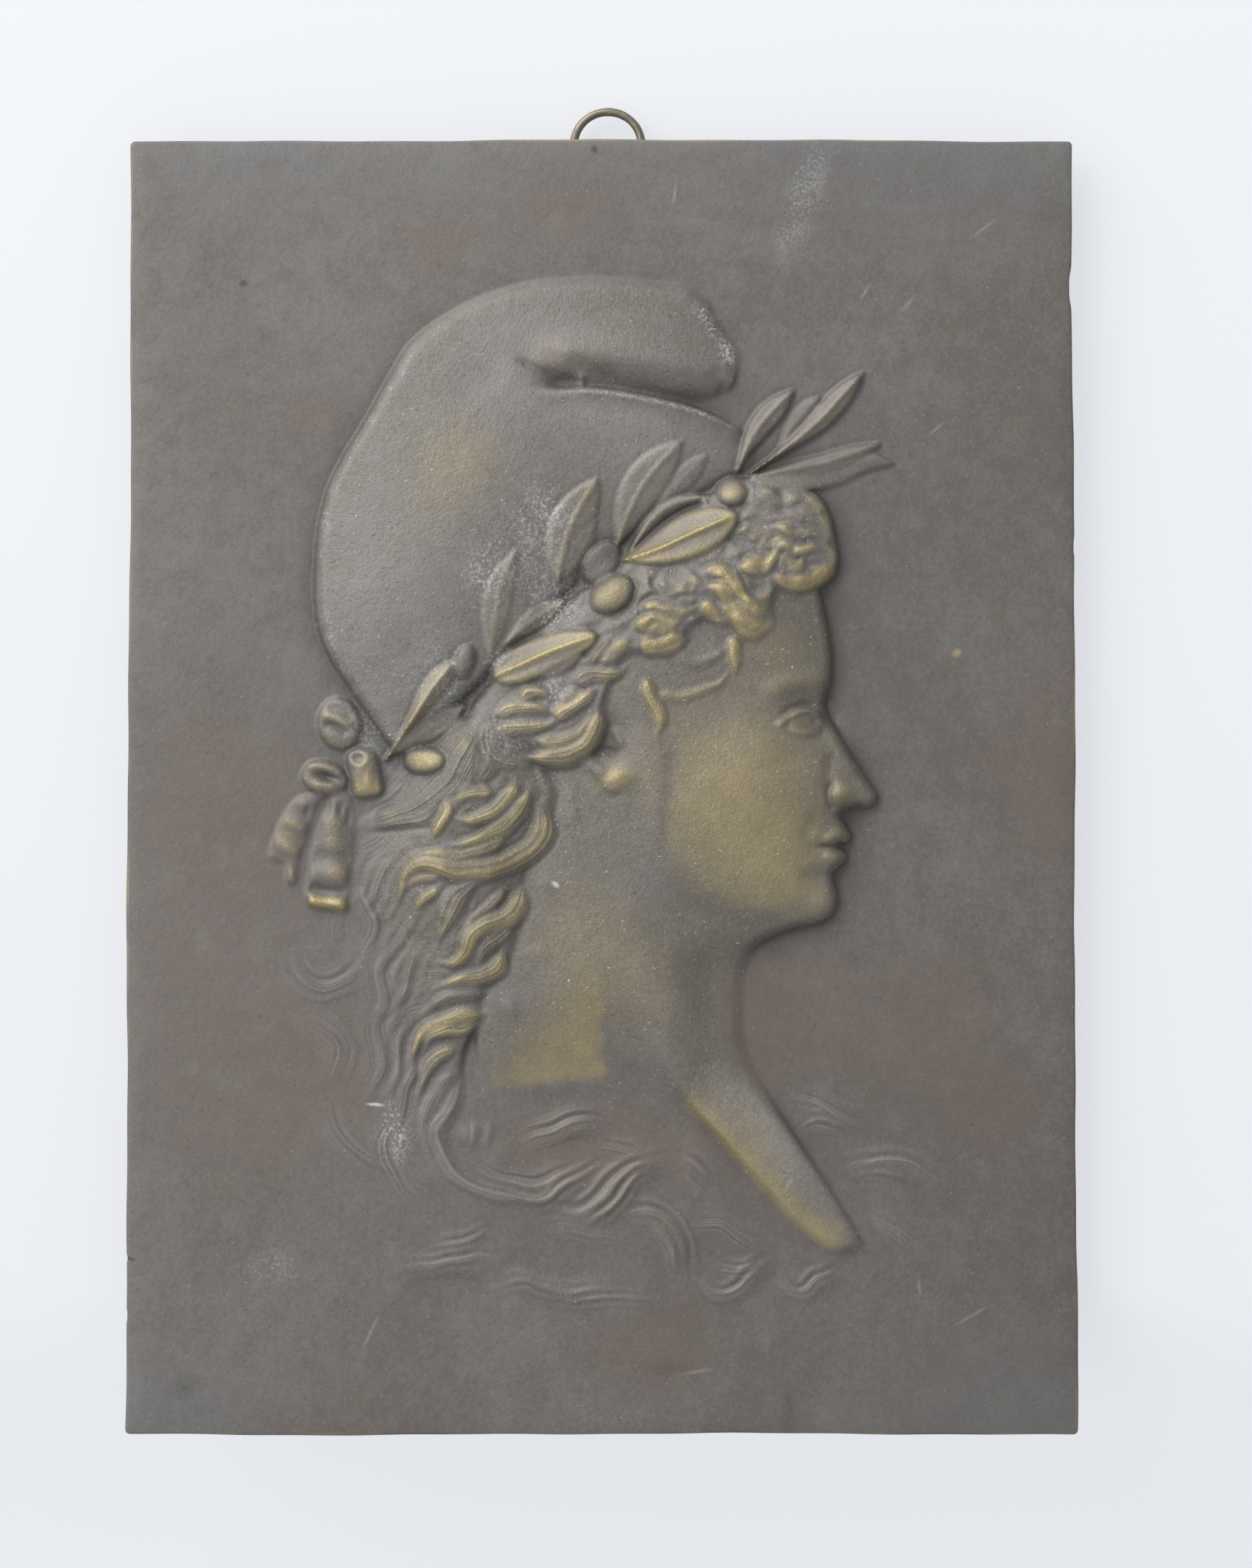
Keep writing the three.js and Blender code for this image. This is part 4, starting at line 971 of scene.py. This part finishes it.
# Painted shade with the dirt: darker in hollows, between the drawn strands and towards the lower right, and
# at pits and stains
dirt_and_painted_shade = dirt_and_shade * 0.68 + pits * (raised * 0.25 + 0.35) + drawn * (1 - lines) * 0.3 + stains_and_shade * 0.4
base = dirt_and_painted_shade.mix(base, DARK_GRIME_AND_SHADE)

# Gold where it is rubbed, in grains and along the strands
to_side = sides.math("ABSOLUTE", sides)
to_end = ends.math("ABSOLUTE", ends)
arris = to_side.above(PLATE_WIDTH / 2 - 1, PLATE_WIDTH / 2 - 0.3)
arris = arris + to_end.above(PLATE_HEIGHT / 2 - 1, PLATE_HEIGHT / 2 - 0.3)
gold = rubbed.above(0.05, 0.9) * (grit * 0.25 + blotches * 0.6 + 0.2) * (1 - drawn * (1 - lines) * 0.7)
gold = gold + arris * mottle.above(0.4, 0.65) * 0.4 + at.spot(90, 33, 1.6, 1.2, 30) * on_front
base = gold.mix(base, RUBBED_GOLD)

# Pale dust, flecks and scratches, and the painted highlight along the cap's fold
scratches = at.spot(-57, -81, 3, 0.6, -4) * 2 + at.spot(-11.6, -25.6, 1.5, 0.8, -35) * 2
for x, z, long, turn in ((18.6, 150, 5, 82), (78, 122, 4, 50), (67, 125, 3, 60), (85, 90, 3, 40),
                         (-58, -138, 6, 65), (24, -148, 5, 10), (93, -134, 6, 30), (80, -127, 3, 95),
                         (47, -101, 3, 70), (97, 141, 5, 38)):
    scratches = scratches + at.spot(x, z, long, 0.6, turn) * 0.35
streak = at.spot(51, 148, 24, 6, 70) * 0.6 + at.spot(-83, -122, 9, 6) * 0.5 + at.spot(-52, -88, 10, 3, 100)
scratches = scratches * on_front
streak = streak * on_front
flecks_and_highlight = (dust_and_highlight_mask + streak * 0.7) * (specks + blotches * 0.5).above(0.7, 0.9) * 0.8
flecks_and_highlight = flecks_and_highlight + specks.above(0.69, 0.75) * (raised * 0.4 + 0.35)
flecks_and_highlight = flecks_and_highlight + scratches * (grit * 0.5 + 0.5) + (dust_and_highlight_mask + streak) * mottle * 0.16
base = flecks_and_highlight.mix(base, PALE_DUST_AND_HIGHLIGHT)
roughness = (grain - 0.5) * 0.2 + 0.55 - gold * 0.08 + flecks_and_highlight * 0.2
metal = (0.25 + gold * 0.4) * (1 - flecks_and_highlight)
surface = grain * (raised * 0.7 + 0.8) + blotches * (raised + 1.3)
surface = surface + drawn * lines * 1.4 + grit * raised * 0.3
bump = at.node("ShaderNodeBump", {}, {"Strength": 1, "Distance": 0.0001, "Height": surface})
show(at.node("ShaderNodeBsdfPrincipled", {},
             {"Base Color": base, "Roughness": roughness, "Metallic": metal, "Normal": bump}))

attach(plaque, "root")
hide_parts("plaque")

# Hanging ring
# A closed ring of round brass wire, bent cold, its ends brazed. It hangs loose in the lug's bore, and its
# upper part stands above the top edge. The brass has dulled to grey brown, with bright places left on it.

RING_RADIUS = 8.65
WIRE_RADIUS = 1
RING_Z = -7.65

bpy.ops.object.select_all(action="DESELECT")
bpy.ops.mesh.primitive_torus_add(location=(0, 0, RING_Z / 1000), rotation=(math.pi / 2, 0, 0),
                                 major_segments=144, minor_segments=28,
                                 major_radius=RING_RADIUS / 1000, minor_radius=WIRE_RADIUS / 1000)
ring = bpy.context.object
ring.name = "hanging_ring_wire"
bpy.ops.object.transform_apply()
place = places(ring) * 1000
angle = np.arctan2(place[:, 2] - RING_Z, place[:, 0])
out = np.column_stack([np.cos(angle), np.zeros_like(angle), np.sin(angle)])
core = out * RING_RADIUS + (0, 0, RING_Z)
thickness = 1.05 + 0.02 * np.sin(5 * angle + 1) + 0.012 * np.sin(13 * angle)
braze = 0.08 * np.exp(-((angle + 2.2) / 0.09) ** 2)
stray = 0.05 * np.sin(2 * angle + 0.6) + 0.03 * np.sin(3 * angle)
place = core + (place - core) * (thickness + braze)[:, None] + out * (stray - 0.05)[:, None]
set_places(ring, place / 1000)
bpy.ops.object.shade_smooth()

DULL_BRASS = (0.150, 0.132, 0.098, 1)
BRIGHT_BRASS = (0.420, 0.320, 0.140, 1)
WIRE_TARNISH = (0.110, 0.105, 0.098, 1)

at = new_finish(ring, "brass_wire_finish")
patches = at.noise(170, 4)
fine = at.noise(1400, 3)
brass = patches.above(0.52, 0.72).mix(DULL_BRASS, BRIGHT_BRASS)
tarnish = at.noise(260, 4).above(0.45, 0.7)
brass = (tarnish * 0.8).mix(brass, WIRE_TARNISH)
bump = at.node("ShaderNodeBump", {}, {"Strength": 0.3, "Distance": 0.0002, "Height": fine * 0.5 + patches})
show(at.node("ShaderNodeBsdfPrincipled", {},
             {"Base Color": brass, "Roughness": tarnish * 0.2 + fine * 0.1 + 0.36,
              "Metallic": 0.85 - tarnish * 0.35, "Normal": bump}))

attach(ring, "root")
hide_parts("hanging_ring")

# Studio: wall and floor
# A pale sheet right behind the plaque that sweeps down and forwards into a pale floor. It glows, so that it
# is evenly bright. From behind it is clear and it holds back no light, so that the back is seen and lit too.

WALL_Y = 0.0046
FLOOR_Z = -0.95
SWEEP = 0.3
SHEET_GREY = (0.20, 0.20, 0.20, 1)
SHEET_GLOW = (0.595, 0.61, 0.64, 1)

bpy.ops.object.select_all(action="DESELECT")
bpy.ops.mesh.primitive_plane_add(size=1, location=(0, WALL_Y, 0.2), rotation=(math.pi / 2, 0, 0),
                                 scale=(3.2, 1.7, 1))
sheet = bpy.context.object
sheet.name = "studio_sheet"
bpy.ops.object.transform_apply()
bpy.ops.object.mode_set(mode="EDIT")
bpy.ops.mesh.select_mode(type="EDGE")
bpy.ops.mesh.select_all(action="DESELECT")
bpy.ops.object.mode_set(mode="OBJECT")
for edge in sheet.data.edges:
    edge.select = all(sheet.data.vertices[v].co.z < 0 for v in edge.vertices)
bpy.ops.object.mode_set(mode="EDIT")
bpy.ops.mesh.spin(steps=16, angle=math.pi / 2, center=(0, WALL_Y - SWEEP, FLOOR_Z + SWEEP), axis=(1, 0, 0))
bpy.ops.mesh.extrude_region_move(TRANSFORM_OT_translate={"value": (0, -2.5, 0)})
bpy.ops.mesh.select_all(action="SELECT")
bpy.ops.mesh.remove_doubles(threshold=0.00001)
bpy.ops.mesh.normals_make_consistent(inside=False)
bpy.ops.object.mode_set(mode="OBJECT")
wall = max(sheet.data.polygons, key=lambda part: part.area)
if wall.normal.dot((0, -1, 1)) < 0:
    sheet.data.flip_normals()
bpy.ops.object.shade_smooth()

at = new_finish(sheet, "pale_paper")
paper = at.node("ShaderNodeBsdfDiffuse", {}, {"Color": SHEET_GREY})
glow = at.node("ShaderNodeEmission", {}, {"Color": SHEET_GLOW})
paper = at.node("ShaderNodeAddShader", {}, {0: paper, 1: glow})
clear = at.node("ShaderNodeBsdfTransparent", {}, {})
from_behind = at.node("ShaderNodeNewGeometry", {}, {}, "Backfacing")
shadow_ray = at.node("ShaderNodeLightPath", {}, {}, "Is Shadow Ray")
unseen = from_behind.math("MAXIMUM", from_behind, shadow_ray)
show(at.node("ShaderNodeMixShader", {}, {0: unseen, 1: paper, 2: clear}))


# Studio: lights
# A large soft light above and a little to the left, a weak one low in front, and one behind for the back.

def soft_light(name, location, size, power, aim):
    """A square soft light turned to its aim."""
    light = bpy.data.lights.new(name, "AREA")
    light.size = size
    light.energy = power
    lamp = bpy.data.objects.new(name, light)
    lamp.location = location
    lamp.rotation_euler = (Vector(aim) - Vector(location)).to_track_quat("-Z", "Y").to_euler()
    bpy.context.scene.collection.objects.link(lamp)


middle = (MIDDLE_X / 1000, PLATE_FRONT / 1000, MIDDLE_Z / 1000)
soft_light("light_above", (-0.95, -0.85, 1.0), 1.9, 60, middle)
soft_light("light_in_front", (-1.2, -1.5, -0.2), 1.4, 8, middle)
soft_light("light_behind", (0.3, 1.6, 0.7), 1.4, 45, middle)
world = bpy.data.worlds.new("studio")
world.use_nodes = True
world.node_tree.nodes["Background"].inputs["Color"].default_value = (0.92, 0.95, 1, 1)
world.node_tree.nodes["Background"].inputs["Strength"].default_value = 0.84
bpy.context.scene.world = world
bpy.context.scene.view_settings.view_transform = "Standard"

# Studio: camera
# A metre away and a little below the middle of the plaque, looking slightly up at it.

DISTANCE = 1.0
LOOK_UP = math.radians(2.15)
TALL_VIEW = 0.3962
OFF_CENTRE = (0.0062, -0.0002)

camera = bpy.data.objects.new("camera", bpy.data.cameras.new("camera"))
camera.data.sensor_width = 36
camera.data.lens = 36 * DISTANCE / TALL_VIEW
aim = Vector(middle) + Vector((OFF_CENTRE[0], 0, OFF_CENTRE[1]))
camera.location = aim + DISTANCE * Vector((0, -math.cos(LOOK_UP), -math.sin(LOOK_UP)))
camera.rotation_euler = (math.pi / 2 + LOOK_UP, 0, 0)
bpy.context.scene.collection.objects.link(camera)
bpy.context.scene.camera = camera
